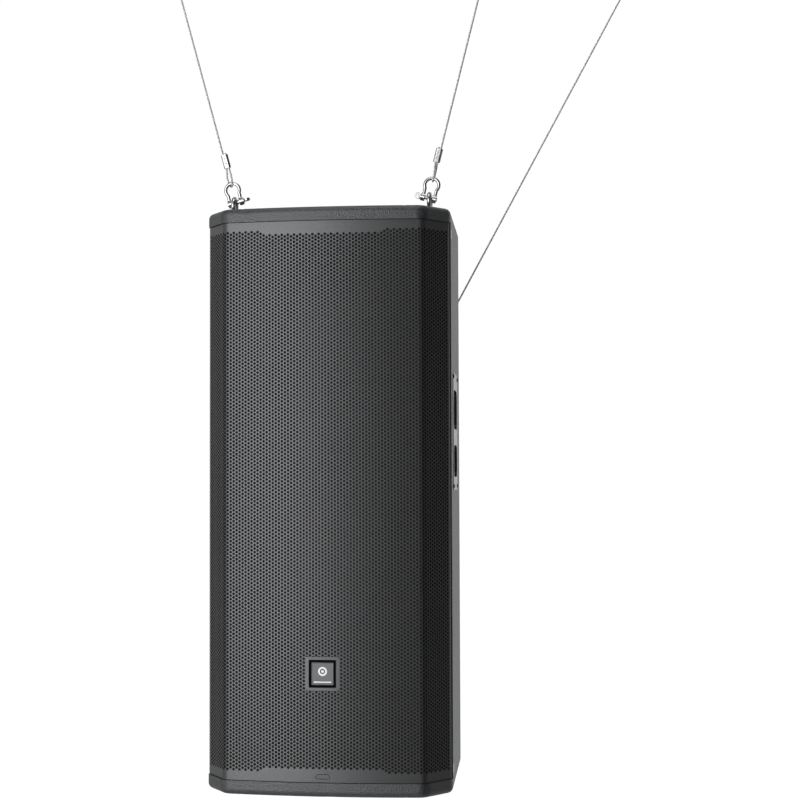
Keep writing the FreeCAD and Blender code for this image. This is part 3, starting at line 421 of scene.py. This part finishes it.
def add_band(work, columns, side, ends):
    """The plain band between the last cells and the grille's upper or lower edge."""
    edge = grille_high.z if side > 0 else grille_low.z
    line = edge_line(columns, side, ends)
    inner = [work.corner(*place) for place in line]
    outer = [work.loose(place[0] * cell / 2, edge) for place in line]
    slot = 3 * light_columns + 1
    over_slot = [i for i, place in enumerate(line) if side < 0 and abs(place[0]) <= slot]
    for i in range(len(line) - 1):
        if i in over_slot and i + 1 in over_slot:
            continue
        face = (inner[i], inner[i + 1], outer[i + 1], outer[i])
        work.faces.append(tuple(reversed(face)) if side > 0 else face)
    if over_slot:
        rim = ([inner[i] for i in over_slot] + [outer[i] for i in reversed(over_slot)])
        slot_rim = [work.loose(x, light_middle + z) for x, z in stadium(light_half, light_half_height)]
        loops = [[(*work.flat[i], 0) for i in loop] for loop in (rim, slot_rim)]
        names = rim + slot_rim
        for triangle in tessellate_polygon(loops):
            a, b, c = (names[i] for i in triangle)
            turn = np.cross(np.subtract(work.flat[b], work.flat[a]), np.subtract(work.flat[c], work.flat[a]))
            work.faces.append((a, b, c) if turn > 0 else (a, c, b))


def stadium(half_length, radius, steps=10):
    """Points round a slot with round ends, about its middle."""
    points = []
    for side in (1, -1):
        for i in range(steps + 1):
            angle = math.pi * (i / steps - 0.5)
            points.append((side * (half_length - radius + radius * math.cos(angle)),
                           side * radius * math.sin(angle)))
    return points


def add_border(work, column, side):
    """The plain border between the last column and the grille's folded side edge."""
    marks = [outline.marks[2], *np.linspace(outline.marks[2], outline.marks[3], 5)[1:], outline.half]
    odd = column % 2
    ups = range(-odd, 2 * rows - 1 + odd)
    heights = [grille_low.z] + [first_row_height + up * pitch / 2 for up in ups] + [grille_high.z]
    start = side * (3 * abs(column) + 2)
    inner = [work.corner(3 * column + side * (1 + (up - odd + 1) % 2), up) for up in ups]
    foot, head = (work.loose(start * cell / 2, edge) for edge in (grille_low.z, grille_high.z))
    inner = [foot, *inner, head]
    for mark in marks:
        outer = [work.loose(side * mark, height) for height in heights]
        for i in range(len(heights) - 1):
            face = (inner[i], outer[i], outer[i + 1], inner[i + 1])
            work.faces.append(face if side > 0 else tuple(reversed(face)))
        inner = outer


def make_grille():
    """The perforated sheet, in upright sections that meet cell to cell."""
    sections = []
    start = -columns_each_side
    for number, size in enumerate(section_sizes):
        work = Perforation()
        own = list(range(start, start + size))
        start += size
        ends = (number == 0, number == len(section_sizes) - 1)
        for column in own:
            for row in range(rows + column % 2):
                up = 2 * row - column % 2
                if not is_open(column, up):
                    work.add_cell(column, up, is_blank(column, up))
        add_band(work, own, 1, ends)
        add_band(work, own, -1, ends)
        if ends[0]:
            add_border(work, own[0], -1)
        if ends[1]:
            add_border(work, own[-1], 1)
        section = folded_shell("grille_sheet_%d" % (number + 1), work.flat, work.faces,
                               0.0, sheet, "cabinet", "grille_metal")
        smooth(section, 35)
        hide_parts("grille")
        sections.append(section)
    return sections


# ---------------------------------------------------------------- foam and badge

foam_front, foam_back = 0.00185, 0.0067
foam_cell = 0.009
foam_side_gap, foam_end_gap = 0.002, 0.001
tray_half = 0.0275
# Painted shade on the badge plate's sides and the lens's lip: all behind this depth from the grille's front is
# painted dark, blended over this edge.
painted_shade_depth, painted_shade_edge = 0.0012, 0.0004
# half size, corner radius and depth behind the grille's front
tray_rings = ((0.0262, 0.002, 0.0037), (0.0265, 0.002, 0.0040), (0.0265, 0.002, 0.0048))
plate_rings = ((0.0186, 0.0006, 0.00055), (0.0189, 0.0007, 0.00015), (0.0196, 0.001, 0.0001),
               (0.0201, 0.0013, 0.0004), (0.0202, 0.0015, 0.0040))


def make_foam():
    """The acoustic foam behind the grille, with an opening for the badge's tray."""
    low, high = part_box("grille_foam")
    reach = outline.marks[3] - foam_side_gap
    spans = [np.linspace(a, b, max(2, round((b - a) / foam_cell) + 1))
             for a, b in ((-reach, -tray_half), (-tray_half, tray_half), (tray_half, reach))]
    alongs = np.unique(np.concatenate(spans).round(6))
    tray_low, tray_high = badge_height - tray_half, badge_height + tray_half
    lifts = [np.linspace(a, b, max(2, round((b - a) / foam_cell) + 1))
             for a, b in ((low.z + foam_end_gap, tray_low),
                          (tray_low, tray_high),
                          (tray_high, high.z - foam_end_gap))]
    heights = np.unique(np.concatenate(lifts).round(6))
    flat = [(s, h) for s in alongs for h in heights]
    faces = []
    for i in range(len(alongs) - 1):
        for j in range(len(heights) - 1):
            middle = ((alongs[i] + alongs[i + 1]) / 2, (heights[j] + heights[j + 1]) / 2)
            if max(abs(middle[0]), abs(middle[1] - badge_height)) < tray_half:
                continue
            a, b = i * len(heights) + j, (i + 1) * len(heights) + j
            faces.append((a, b, b + 1, a + 1))
    foam = folded_shell("foam_backing", flat, faces, foam_front, foam_back, "cabinet", "black_foam")
    smooth(foam, 40)
    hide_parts("grille_foam")
    return foam


def rounded_square(half, radius, steps=6):
    """Points round a square with rounded corners, as (x, z), anticlockwise seen from the front."""
    points = []
    for corner in range(4):
        start = corner * math.pi / 2
        cx, cz = ((half - radius) * s for s in ((1, 1), (-1, 1), (-1, -1), (1, -1))[corner])
        for i in range(steps + 1):
            angle = start + i / steps * math.pi / 2
            points.append((cx + radius * math.cos(angle), cz + radius * math.sin(angle)))
    return points


def lofted_plate(name, rings, body, slot):
    """A solid plate from rings of points, each (half size, corner radius, depth), the front ring first."""
    points, faces = [], []
    for half, radius, depth in rings:
        points += [(x, grille_low.y + depth, badge_height + z) for x, z in rounded_square(half, radius)]
    count = len(points) // len(rings)
    for ring in range(len(rings) - 1):
        for i in range(count):
            j = (i + 1) % count
            a, b = ring * count, (ring + 1) * count
            faces.append((a + i, a + j, b + j, b + i))
    faces.append(tuple(reversed(range(count))))
    faces.append(tuple(range((len(rings) - 1) * count, len(rings) * count)))
    return new_piece(name, points, faces, body, slot)


def make_badge():
    """The raised surround on the sheet, the dark tray behind its opening, whose near-black finish also paints the
    gap's shade, and the plate in the tray.
    """
    half, tall, opening = 0.0315, 0.0304, 0.0247
    # half width, half height, corner radius and depth behind the sheet's outer face
    profile = ((half, tall, 0.0016, -0.0001),
               (half, tall, 0.0016, -0.00035),
               (half - 0.0003, tall - 0.0003, 0.0014, -0.0005),
               (opening + 0.0006, opening + 0.0006, 0.0013, -0.0005),
               (opening, opening, 0.001, -0.0001),
               (opening, opening, 0.001, sheet),
               (opening + 0.001, opening + 0.001, 0.001, sheet))
    flat_steps = 8
    points, faces = [], []
    for width, height, radius, inset in profile:
        ring = rounded_frame(width, height, radius, flat_steps)
        plan = outline.place(np.array([x for x, _ in ring]), inset)
        points += [(x, grille_low.y + depth, badge_height + z) for (x, depth), (_, z) in zip(plan, ring)]
    count = len(points) // len(profile)
    for ring in range(len(profile)):
        a, b = ring * count, (ring + 1) % len(profile) * count
        faces += [(a + i, b + i, b + (i + 1) % count, a + (i + 1) % count) for i in range(count)]
    surround = new_piece("badge_surround", points, faces, "cabinet", "grille_metal")
    smooth(surround, 25)
    tray = lofted_plate("badge_tray", tray_rings, "cabinet", "badge_finish")
    plate = lofted_plate("badge_plate", plate_rings, "cabinet", "badge_finish")
    for piece in (tray, plate):
        smooth(piece, 25)
        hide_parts("badge")
    return surround, tray, plate


def rounded_frame(width, height, radius, flat_steps, arc_steps=4):
    """Points round a rectangle with rounded corners and divided sides, as (x, z) about its middle."""
    corners = [(width - radius, height - radius), (radius - width, height - radius),
               (radius - width, radius - height), (width - radius, radius - height)]
    points = []
    for number, (cx, cz) in enumerate(corners):
        arc = [(cx + radius * math.cos(a), cz + radius * math.sin(a))
               for a in (number * math.pi / 2 + i / arc_steps * math.pi / 2 for i in range(arc_steps + 1))]
        after = corners[(number + 1) % 4]
        turn = (number + 1) * math.pi / 2
        to = (after[0] + radius * math.cos(turn), after[1] + radius * math.sin(turn))
        start = arc[-1]
        sides = [tuple(start[k] + (to[k] - start[k]) * i / flat_steps for k in (0, 1))
                 for i in range(1, flat_steps)]
        points += arc + sides
    return points


# ---------------------------------------------------------------- finishes

# The print on the badge, about its middle: a ring with a dot in it, and a bar below.
ring_rise, ring_radius, ring_half_width, dot_radius = 0.0042, 0.0066, 0.0017, 0.0026
bar_rise, bar_half, bar_half_height = -0.0150, 0.0160, 0.0012
print_edge = 0.0003


class Finish:
    """A material being built: a Principled shader fed by procedural patterns in object space."""

    def __init__(self, name, **sockets):
        self.material = bpy.data.materials.new(name)
        self.material.use_nodes = True
        self.nodes, self.links = self.material.node_tree.nodes, self.material.node_tree.links
        self.shader = self.nodes["Principled BSDF"]
        for socket, value in sockets.items():
            self.shader.inputs[socket.replace("_", " ")].default_value = value
        self.normal = None

    def place(self, stretch=(1, 1, 1)):
        """Object coordinates, stretched."""
        mapping = self.nodes.new("ShaderNodeMapping")
        mapping.inputs["Scale"].default_value = stretch
        self.links.new(self.nodes.new("ShaderNodeTexCoord").outputs["Object"], mapping.inputs["Vector"])
        return mapping.outputs["Vector"]

    def pattern(self, kind, output, scale, place=None, **settings):
        """A texture node's output. Settings are its sockets or its own properties."""
        node = self.nodes.new(kind)
        node.inputs["Scale"].default_value = scale
        for name, value in settings.items():
            if hasattr(node, name):
                setattr(node, name, value)
            else:
                node.inputs[name.replace("_", " ").title()].default_value = value
        self.links.new(place or self.place(), node.inputs["Vector"])
        return node.outputs[output]

    def noise(self, scale, place=None, **settings):
        """Soft, cloudy noise."""
        return self.pattern("ShaderNodeTexNoise", "Fac", scale, place, **settings)

    def cells(self, scale, place=None, **settings):
        """Distances to the middles of scattered cells."""
        return self.pattern("ShaderNodeTexVoronoi", "Distance", scale, place, **settings)

    def bands(self, scale, place=None, **settings):
        """Even stripes."""
        return self.pattern("ShaderNodeTexWave", "Fac", scale, place, **settings)

    def remap(self, value, low, high, to_low=0.0, to_high=1.0):
        """A value moved from one range to another and kept in it."""
        node = self.nodes.new("ShaderNodeMapRange")
        for socket, number in zip(("From Min", "From Max", "To Min", "To Max"), (low, high, to_low, to_high)):
            node.inputs[socket].default_value = number
        self.links.new(value, node.inputs["Value"])
        return node.outputs["Result"]

    def math(self, operation, first, second):
        """Two values, or a value and a number, joined by an operation."""
        node = self.nodes.new("ShaderNodeMath")
        node.operation = operation
        self.links.new(first, node.inputs[0])
        if isinstance(second, (int, float)):
            node.inputs[1].default_value = second
        else:
            self.links.new(second, node.inputs[1])
        return node.outputs["Value"]

    def colour(self, value, *stops):
        """The base colour as a ramp of (position, colour) over a pattern."""
        ramp = self.nodes.new("ShaderNodeValToRGB")
        elements = ramp.color_ramp.elements
        while len(elements) < len(stops):
            elements.new(0.5)
        for element, (position, shade) in zip(elements, stops):
            element.position, element.color = position, (*shade, 1)
        self.links.new(value, ramp.inputs["Fac"])
        self.links.new(ramp.outputs["Color"], self.shader.inputs["Base Color"])
        return self

    def unshaded_mask(self, depth):
        """One on what stands ahead of a depth behind the grille's front, and nothing behind it: the mask that
        keeps painted shade off the face in front of that depth.
        """
        near = grille_low.y + depth
        return self.remap(self.split("Y"), near, near + painted_shade_edge, 1.0, 0.0)

    def split(self, axis):
        """One of the object coordinates."""
        node = self.nodes.new("ShaderNodeSeparateXYZ")
        self.links.new(self.place(), node.inputs["Vector"])
        return node.outputs[axis]

    def away(self, value, middle):
        """How far a value is from a number."""
        return self.math("ABSOLUTE", self.math("SUBTRACT", value, middle), 0.0)

    def roughness(self, value, low, high):
        """Roughness between two numbers, following a pattern."""
        self.links.new(self.remap(value, 0.3, 0.7, low, high), self.shader.inputs["Roughness"])
        return self

    def bump(self, value, depth):
        """Relief of a depth in metres, added to any before it."""
        node = self.nodes.new("ShaderNodeBump")
        node.inputs["Distance"].default_value = depth
        self.links.new(value, node.inputs["Height"])
        if self.normal:
            self.links.new(self.normal, node.inputs["Normal"])
        self.normal = node.outputs["Normal"]
        self.links.new(self.normal, self.shader.inputs["Normal"])
        return self


def grey(level, warm=0.0):
    """A near-neutral colour; a positive warmth reddens it and a negative one cools it."""
    return (level * (1 + warm), level, level * (1 - warm))


def coated_board():
    """A sprayed, finely pebbled coating over plywood."""
    f = Finish("coated_board", Specular_IOR_Level=0.95)
    pebbles = f.cells(420, feature="SMOOTH_F1", smoothness=0.4, randomness=1.0)
    fine = f.noise(1500, detail=3.0, roughness=0.6)
    specks = f.noise(320, detail=3.0, roughness=0.65)
    f.colour(f.math("ADD", f.math("MULTIPLY", specks, 0.7), f.math("MULTIPLY", fine, 0.3)),
             (0.38, grey(0.004, -0.10)), (0.50, grey(0.014, -0.12)), (0.62, grey(0.046, -0.12)))
    f.roughness(specks, 0.34, 0.60)
    return f.bump(pebbles, 0.0005).bump(fine, 0.0001).material


def bare_board():
    """Plywood stained black: long grain and thin plies."""
    f = Finish("bare_board")
    grain = f.noise(30, f.place((2, 2, 14)), detail=8.0, roughness=0.6)
    plies = f.bands(330, bands_direction="Y", distortion=0.6)
    f.colour(f.math("ADD", f.math("MULTIPLY", grain, 0.7), f.math("MULTIPLY", plies, 0.3)),
             (0.3, (0.016, 0.014, 0.012)), (0.7, (0.045, 0.038, 0.032)))
    f.roughness(grain, 0.6, 0.8)
    return f.bump(grain, 0.0003).material


def powder_coat(name, dark, light, rough_low, rough_high, grain=2600, gloss=0.5):
    """Satin powder coat: a faint orange peel over an even grain."""
    f = Finish(name, Specular_IOR_Level=gloss)
    peel = f.noise(420, detail=2.0, roughness=0.5)
    speckle = f.noise(grain, detail=3.0, roughness=0.6)
    cloud = f.noise(9, detail=4.0, roughness=0.6)
    f.colour(f.math("ADD", f.math("MULTIPLY", speckle, 0.6), f.math("MULTIPLY", cloud, 0.4)),
             (0.35, grey(dark, -0.02)), (0.65, grey(light, -0.02)))
    f.roughness(speckle, rough_low, rough_high)
    return f.bump(peel, 0.00006).bump(speckle, 0.00002).material


def grille_metal():
    return powder_coat("grille_metal", 0.018, 0.028, 0.30, 0.40, gloss=0.75)


def cast_alloy():
    return powder_coat("cast_alloy", 0.022, 0.032, 0.5, 0.65, 1400)


def black_screw():
    return powder_coat("black_screw", 0.016, 0.026, 0.35, 0.5, 3200)


def black_foam():
    """Open-cell foam: dark pores between thin ribs."""
    f = Finish("black_foam", Specular_IOR_Level=0.05)
    pores = f.cells(900, feature="F1", randomness=1.0)
    small = f.cells(2100, feature="F1", randomness=1.0)
    f.colour(f.math("MULTIPLY", pores, 1.2), (0.1, grey(0.009)), (0.5, grey(0.022)), (0.9, grey(0.038)))
    f.roughness(small, 0.85, 1.0)
    return f.bump(pores, 0.0008).bump(small, 0.0003).material


def badge_finish():
    """The badge's plate: fine-brushed grey with a plain printed ring and bar, and painted shade down its sides
    behind its face.
    """
    f = Finish("badge_finish", Specular_IOR_Level=0.5)
    brushed = f.noise(260, f.place((1, 1, 18)), detail=6.0, roughness=0.7)
    # front is one on the plate's face and nothing on its sides, which take painted shade.
    front = f.unshaded_mask(painted_shade_depth)
    across, up = f.split("X"), f.math("SUBTRACT", f.split("Z"), badge_height)
    from_ring = f.math("SUBTRACT", up, ring_rise)
    radius = f.math("POWER", f.math("ADD", f.math("MULTIPLY", across, across),
                                    f.math("MULTIPLY", from_ring, from_ring)), 0.5)
    ring = f.remap(f.away(radius, ring_radius), ring_half_width, ring_half_width - print_edge)
    dot = f.remap(radius, dot_radius, dot_radius - print_edge)
    bar = f.math("MULTIPLY", f.remap(f.away(across, 0.0), bar_half, bar_half - print_edge),
                 f.remap(f.away(up, bar_rise), bar_half_height, bar_half_height - print_edge))
    printed = f.math("MAXIMUM", f.math("MAXIMUM", ring, dot), bar)
    # plain is low behind the plate's face and high on it: this carries the painted shade down its sides.
    plain = f.math("ADD", f.math("MULTIPLY", front, 0.6), f.math("MULTIPLY", brushed, 0.35))
    f.colour(f.math("ADD", plain, f.math("MULTIPLY", printed, front)),
             (0.1, grey(0.003)), (0.3, grey(0.005)), (0.62, grey(0.075, -0.02)), (0.95, grey(0.13, -0.02)),
             (1.0, grey(0.80)))
    f.roughness(brushed, 0.3, 0.45)
    return f.bump(brushed, 0.00002).material


def tray_black_and_shade():
    """Matt black paint in the badge's tray, made near-black and without gloss so that it also paints the shade in
    the gap round the plate.
    """
    f = Finish("tray_black_and_shade", Specular_IOR_Level=0.05)
    mottle = f.noise(700, detail=3.0)
    f.colour(mottle, (0.35, grey(0.003)), (0.65, grey(0.006)))
    f.roughness(mottle, 0.7, 0.85)
    return f.bump(mottle, 0.00003).material


def light_lens():
    """A smoked, softly diffusing lens, with painted shade on the lip behind it."""
    f = Finish("light_lens", Specular_IOR_Level=0.75)
    haze = f.noise(600, detail=3.0)
    # front is one on the lens's face; the lip behind it takes the darkest stops as painted shade.
    front = f.unshaded_mask(painted_shade_depth)
    f.colour(f.math("ADD", f.math("MULTIPLY", front, 0.6), f.math("MULTIPLY", haze, 0.3)),
             (0.15, grey(0.003)), (0.35, grey(0.005)), (0.70, grey(0.018)), (0.82, grey(0.026)))
    f.roughness(haze, 0.32, 0.42)
    return f.bump(haze, 0.00001).material


def moulded_plastic():
    """Moulded plastic with a fine spark-eroded grain."""
    f = Finish("moulded_plastic", Specular_IOR_Level=0.7)
    spark = f.cells(1700, feature="SMOOTH_F1", smoothness=0.5)
    cloud = f.noise(40, detail=4.0)
    f.colour(f.math("ADD", f.math("MULTIPLY", spark, 0.5), f.math("MULTIPLY", cloud, 0.5)),
             (0.25, grey(0.020)), (0.6, grey(0.032)))
    f.roughness(spark, 0.20, 0.32)
    return f.bump(spark, 0.00003).material


def soft_knob():
    """Matt rubber, faintly mottled."""
    f = Finish("soft_knob", Specular_IOR_Level=0.3, Sheen_Weight=0.2)
    mottle = f.noise(900, detail=4.0)
    f.colour(mottle, (0.35, grey(0.014)), (0.65, grey(0.026)))
    f.roughness(mottle, 0.7, 0.85)
    return f.bump(mottle, 0.00004).material


def plated(name, dark, light, rough_low, rough_high, streaks, depth, stretch=(1, 1, 1)):
    """Bright metal with fine streaks and a cloudy change of gloss."""
    f = Finish(name, Metallic=1.0)
    streak = f.noise(streaks, f.place(stretch), detail=6.0, roughness=0.7)
    cloud = f.noise(45, detail=3.0, distortion=0.5)
    f.colour(f.math("ADD", f.math("MULTIPLY", streak, 0.5), f.math("MULTIPLY", cloud, 0.5)),
             (0.32, dark), (0.68, light))
    f.roughness(f.math("ADD", f.math("MULTIPLY", streak, 0.6), f.math("MULTIPLY", cloud, 0.4)),
                rough_low, rough_high)
    return f.bump(streak, depth).material


def zinc_steel():
    return plated("zinc_steel", (0.60, 0.61, 0.62), (0.82, 0.82, 0.81), 0.26, 0.42, 500, 0.00002)


def polished_steel():
    return plated("polished_steel", (0.36, 0.36, 0.35), (0.58, 0.58, 0.57), 0.20, 0.30, 700, 0.00001)


def pressed_alloy():
    return plated("pressed_alloy", (0.36, 0.36, 0.34), (0.60, 0.60, 0.58), 0.20, 0.36, 420, 0.00004,
                  stretch=(1, 1, 0.2))


def amp_metal():
    """Black anodised aluminium, lightly brushed upright."""
    f = Finish("amp_metal", Metallic=0.6)
    brushed = f.noise(700, f.place((1, 1, 0.05)), detail=5.0, roughness=0.6)
    cloud = f.noise(25, detail=4.0)
    f.colour(f.math("ADD", f.math("MULTIPLY", brushed, 0.6), f.math("MULTIPLY", cloud, 0.4)),
             (0.32, grey(0.024)), (0.68, grey(0.044)))
    f.roughness(brushed, 0.38, 0.52)
    return f.bump(brushed, 0.00003).material


def magnet_steel():
    """Ferrite between plated plates: dull grey with chips and specks."""
    f = Finish("magnet_steel", Metallic=0.3)
    specks = f.noise(300, detail=6.0, roughness=0.7)
    f.colour(specks, (0.35, grey(0.06)), (0.6, grey(0.11)), (0.75, grey(0.16)))
    f.roughness(specks, 0.45, 0.7)
    return f.bump(specks, 0.0001).material


def coil_copper():
    """Enamelled wire wound side by side along Y."""
    f = Finish("coil_copper", Metallic=0.9, Coat_Weight=0.4)
    turns = f.bands(900, bands_direction="Y", distortion=0.1)
    f.colour(turns, (0.1, (0.30, 0.12, 0.05)), (0.8, (0.75, 0.38, 0.18)))
    f.roughness(turns, 0.25, 0.4)
    return f.bump(turns, 0.00015).material


def cone_paper():
    """Pulp paper: felted fibres, pressed and tinted black."""
    f = Finish("cone_paper", Specular_IOR_Level=0.25)
    fibres = f.noise(380, detail=10.0, roughness=0.75, distortion=1.2)
    f.colour(fibres, (0.35, grey(0.012)), (0.65, grey(0.032, 0.04)))
    f.roughness(fibres, 0.75, 0.95)
    return f.bump(fibres, 0.0002).material


def treated_cloth():
    """Doped cotton: crossing threads under a dull sealer."""
    f = Finish("treated_cloth", Specular_IOR_Level=0.35)
    across = f.bands(520, bands_direction="X", distortion=0.3)
    upright = f.bands(520, bands_direction="Z", distortion=0.3)
    weave = f.math("MULTIPLY", across, upright)
    f.colour(weave, (0.05, (0.014, 0.013, 0.012)), (0.7, (0.045, 0.041, 0.036)))
    f.roughness(weave, 0.6, 0.8)
    return f.bump(weave, 0.0002).material


def circuit_board():
    """Green resist over copper tracks, with rows of plated pads."""
    f = Finish("circuit_board", Coat_Weight=0.3)
    tracks = f.pattern("ShaderNodeTexBrick", "Fac", 60, None, mortar_size=0.02)
    pads = f.cells(180, feature="F1", randomness=0.1)
    lit = f.math("MAXIMUM", f.math("MULTIPLY", tracks, 0.5), f.remap(pads, 0.24, 0.18, 0.0, 1.0))
    f.colour(lit, (0.1, (0.012, 0.07, 0.032)), (0.5, (0.03, 0.16, 0.07)), (0.9, (0.55, 0.53, 0.42)))
    f.roughness(lit, 0.35, 0.5)
    return f.bump(lit, 0.00008).material


def display_glass():
    """A dark window over a display that is off."""
    f = Finish("display_glass", Coat_Weight=1.0, Coat_Roughness=0.03)
    haze = f.noise(30, detail=3.0)
    f.colour(haze, (0.3, (0.006, 0.008, 0.011)), (0.7, (0.013, 0.017, 0.022)))
    f.roughness(haze, 0.08, 0.16)
    return f.bump(haze, 0.000004).material


def rope_steel():
    """Galvanised strands: each strand's wires wind round it."""
    f = Finish("rope_steel", Metallic=0.6)
    layer = f.nodes.new("ShaderNodeUVMap")
    layer.uv_map = "lay"
    split = f.nodes.new("ShaderNodeSeparateXYZ")
    f.links.new(layer.outputs["UV"], split.inputs["Vector"])
    around = f.math("MULTIPLY", split.outputs["Y"], wires_round * 2 * math.pi)
    along = f.math("MULTIPLY", split.outputs["X"], wires_along * 2 * math.pi)
    wires = f.remap(f.math("SINE", f.math("ADD", around, along), 0.0), -1.0, 1.0)
    dull = f.noise(220, detail=5.0, roughness=0.6)
    f.colour(f.math("ADD", f.math("MULTIPLY", wires, 0.6), f.math("MULTIPLY", dull, 0.4)),
             (0.2, grey(0.42)), (0.5, grey(0.70)), (0.8, grey(0.88)))
    f.roughness(dull, 0.3, 0.45)
    return f.bump(wires, 0.00012).material


finishes = {make.__name__: make() for make in (
    coated_board, bare_board, grille_metal, black_foam, badge_finish, tray_black_and_shade, light_lens,
    moulded_plastic, soft_knob, zinc_steel, black_screw, cast_alloy, magnet_steel, coil_copper,
    cone_paper, treated_cloth, amp_metal, circuit_board, display_glass, polished_steel, rope_steel,
    pressed_alloy)}


# pieces whose finish is not their slot's; the tray's near-black finish also paints the shade in the badge's gap
own_finish = {"badge_tray": "tray_black_and_shade"}


def dress_nodes():
    """Gives every CAD node the finish of the slot that the record names for it."""
    node_slots = {part["node"]: part["material_slot"] for part in frame["record"]["subparts"]}
    for name, node in nodes.items():
        dress(node, node_slots[name])


def dress(piece, slot):
    """Puts one finish on a whole piece."""
    piece.data.materials.clear()
    piece.data.materials.append(finishes[slot])


# ---------------------------------------------------------------- studio

floor_drop, floor_half = 0.9, 30.0
surroundings_least = 0.02
backdrop_white = 1.02
light_tint = (0.955, 0.975, 1.0)


def make_floor():
    """A plain pale floor well below the hanging cabinet."""
    corners = [(x * floor_half, y * floor_half, -floor_drop) for x, y in ((-1, -1), (1, -1), (1, 1), (-1, 1))]
    mesh = bpy.data.meshes.new("floor")
    mesh.from_pydata(corners, [], [(0, 1, 2, 3)])
    floor = bpy.data.objects.new("floor", mesh)
    bpy.context.scene.collection.objects.link(floor)
    f = Finish("floor_paint", Emission_Color=(1, 1, 1, 1), Emission_Strength=0.75)
    cloud = f.noise(0.8, detail=4.0)
    f.colour(cloud, (0.3, grey(0.80)), (0.7, grey(0.86)))
    f.roughness(cloud, 0.7, 0.9)
    floor.data.materials.append(f.material)
    floor.visible_diffuse = floor.visible_glossy = False


def area_light(name, place, aim, size, power):
    """A soft rectangular light that faces a point."""
    data = bpy.data.lights.new(name, "AREA")
    data.shape = "RECTANGLE"
    data.size, data.size_y = size
    data.energy = power
    data.color = light_tint
    light = bpy.data.objects.new(name, data)
    bpy.context.scene.collection.objects.link(light)
    light.location = place
    light.rotation_euler = (Vector(aim) - Vector(place)).to_track_quat("-Z", "Y").to_euler()


class Surroundings:
    """The world's shader being built: a strength that depends on the direction looked in."""

    def __init__(self):
        world = bpy.data.worlds.new("studio")
        bpy.context.scene.world = world
        world.use_nodes = True
        self.nodes, self.links = world.node_tree.nodes, world.node_tree.links
        self.nodes.clear()
        self.direction = self.nodes.new("ShaderNodeTexCoord").outputs["Generated"]
        self.total = None

    def glow(self, towards, low, high, strength):
        """Adds a soft glow about a direction, from nothing at one cosine to its full strength at another."""
        cosine = self.nodes.new("ShaderNodeVectorMath")
        cosine.operation = "DOT_PRODUCT"
        cosine.inputs[1].default_value = Vector(towards).normalized()
        self.links.new(self.direction, cosine.inputs[0])
        spread = self.nodes.new("ShaderNodeMapRange")
        spread.interpolation_type = "SMOOTHSTEP"
        for socket, number in zip(("From Min", "From Max", "To Min", "To Max"), (low, high, 0.0, strength)):
            spread.inputs[socket].default_value = number
        self.links.new(cosine.outputs["Value"], spread.inputs["Value"])
        joined = self.nodes.new("ShaderNodeMath")
        joined.operation = "ADD"
        self.links.new(spread.outputs["Result"], joined.inputs[0])
        if self.total:
            self.links.new(self.total, joined.inputs[1])
        else:
            joined.inputs[1].default_value = surroundings_least
        self.total = joined.outputs["Value"]

    def show(self, white):
        """Lights the object by the glows, and shows plain white to the camera."""
        seen, lighting = (self.nodes.new("ShaderNodeBackground") for _ in range(2))
        seen.inputs["Strength"].default_value = white
        seen.inputs["Color"].default_value = lighting.inputs["Color"].default_value = (1, 1, 1, 1)
        self.links.new(self.total, lighting.inputs["Strength"])
        rays, pick = self.nodes.new("ShaderNodeLightPath"), self.nodes.new("ShaderNodeMixShader")
        self.links.new(rays.outputs["Is Camera Ray"], pick.inputs["Fac"])
        self.links.new(lighting.outputs["Background"], pick.inputs[1])
        self.links.new(seen.outputs["Background"], pick.inputs[2])
        output = self.nodes.new("ShaderNodeOutputWorld")
        self.links.new(pick.outputs["Shader"], output.inputs["Surface"])


def make_world():
    """A white studio: bright behind the object, softly lit from its front left, and dim elsewhere."""
    studio = Surroundings()
    back, left, front = (0, 1, 0.05), (-0.95, -0.40, 0.05), (-0.42, -0.90, 0.1)
    right, below = (0.9, 0.2, -0.4), (-0.2, -0.3, -0.95)
    for towards, low, high, strength in ((back, 0.2, 0.8, 0.84), (left, 0.5, 1.0, 0.55),
                                         (front, 0.40, 1.0, 0.43), (right, 0.7, 1.0, 0.26),
                                         (below, 0.5, 1.0, 0.55)):
        studio.glow(towards, low, high, strength)
    studio.show(backdrop_white)


def make_studio():
    """The floor, the surroundings, a large key from the front left and a small fill from above."""
    make_floor()
    make_world()
    middle = (0, -0.2, 0.55)
    area_light("key", (-1.25, -3.3, 0.65), middle, (1.7, 2.6), 74)
    area_light("top", (0.0, -0.6, 2.9), (0, 0, 1.0), (1.6, 1.2), 14)
    bpy.context.scene.view_settings.view_transform = "Standard"


make_camera()
ropes = make_ropes()
grille = make_grille()
foam = make_foam()
badge = make_badge()
dress_nodes()
for piece in [*ropes, *grille, foam, *badge]:
    dress(piece, own_finish.get(piece.name, piece["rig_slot"]))
make_studio()
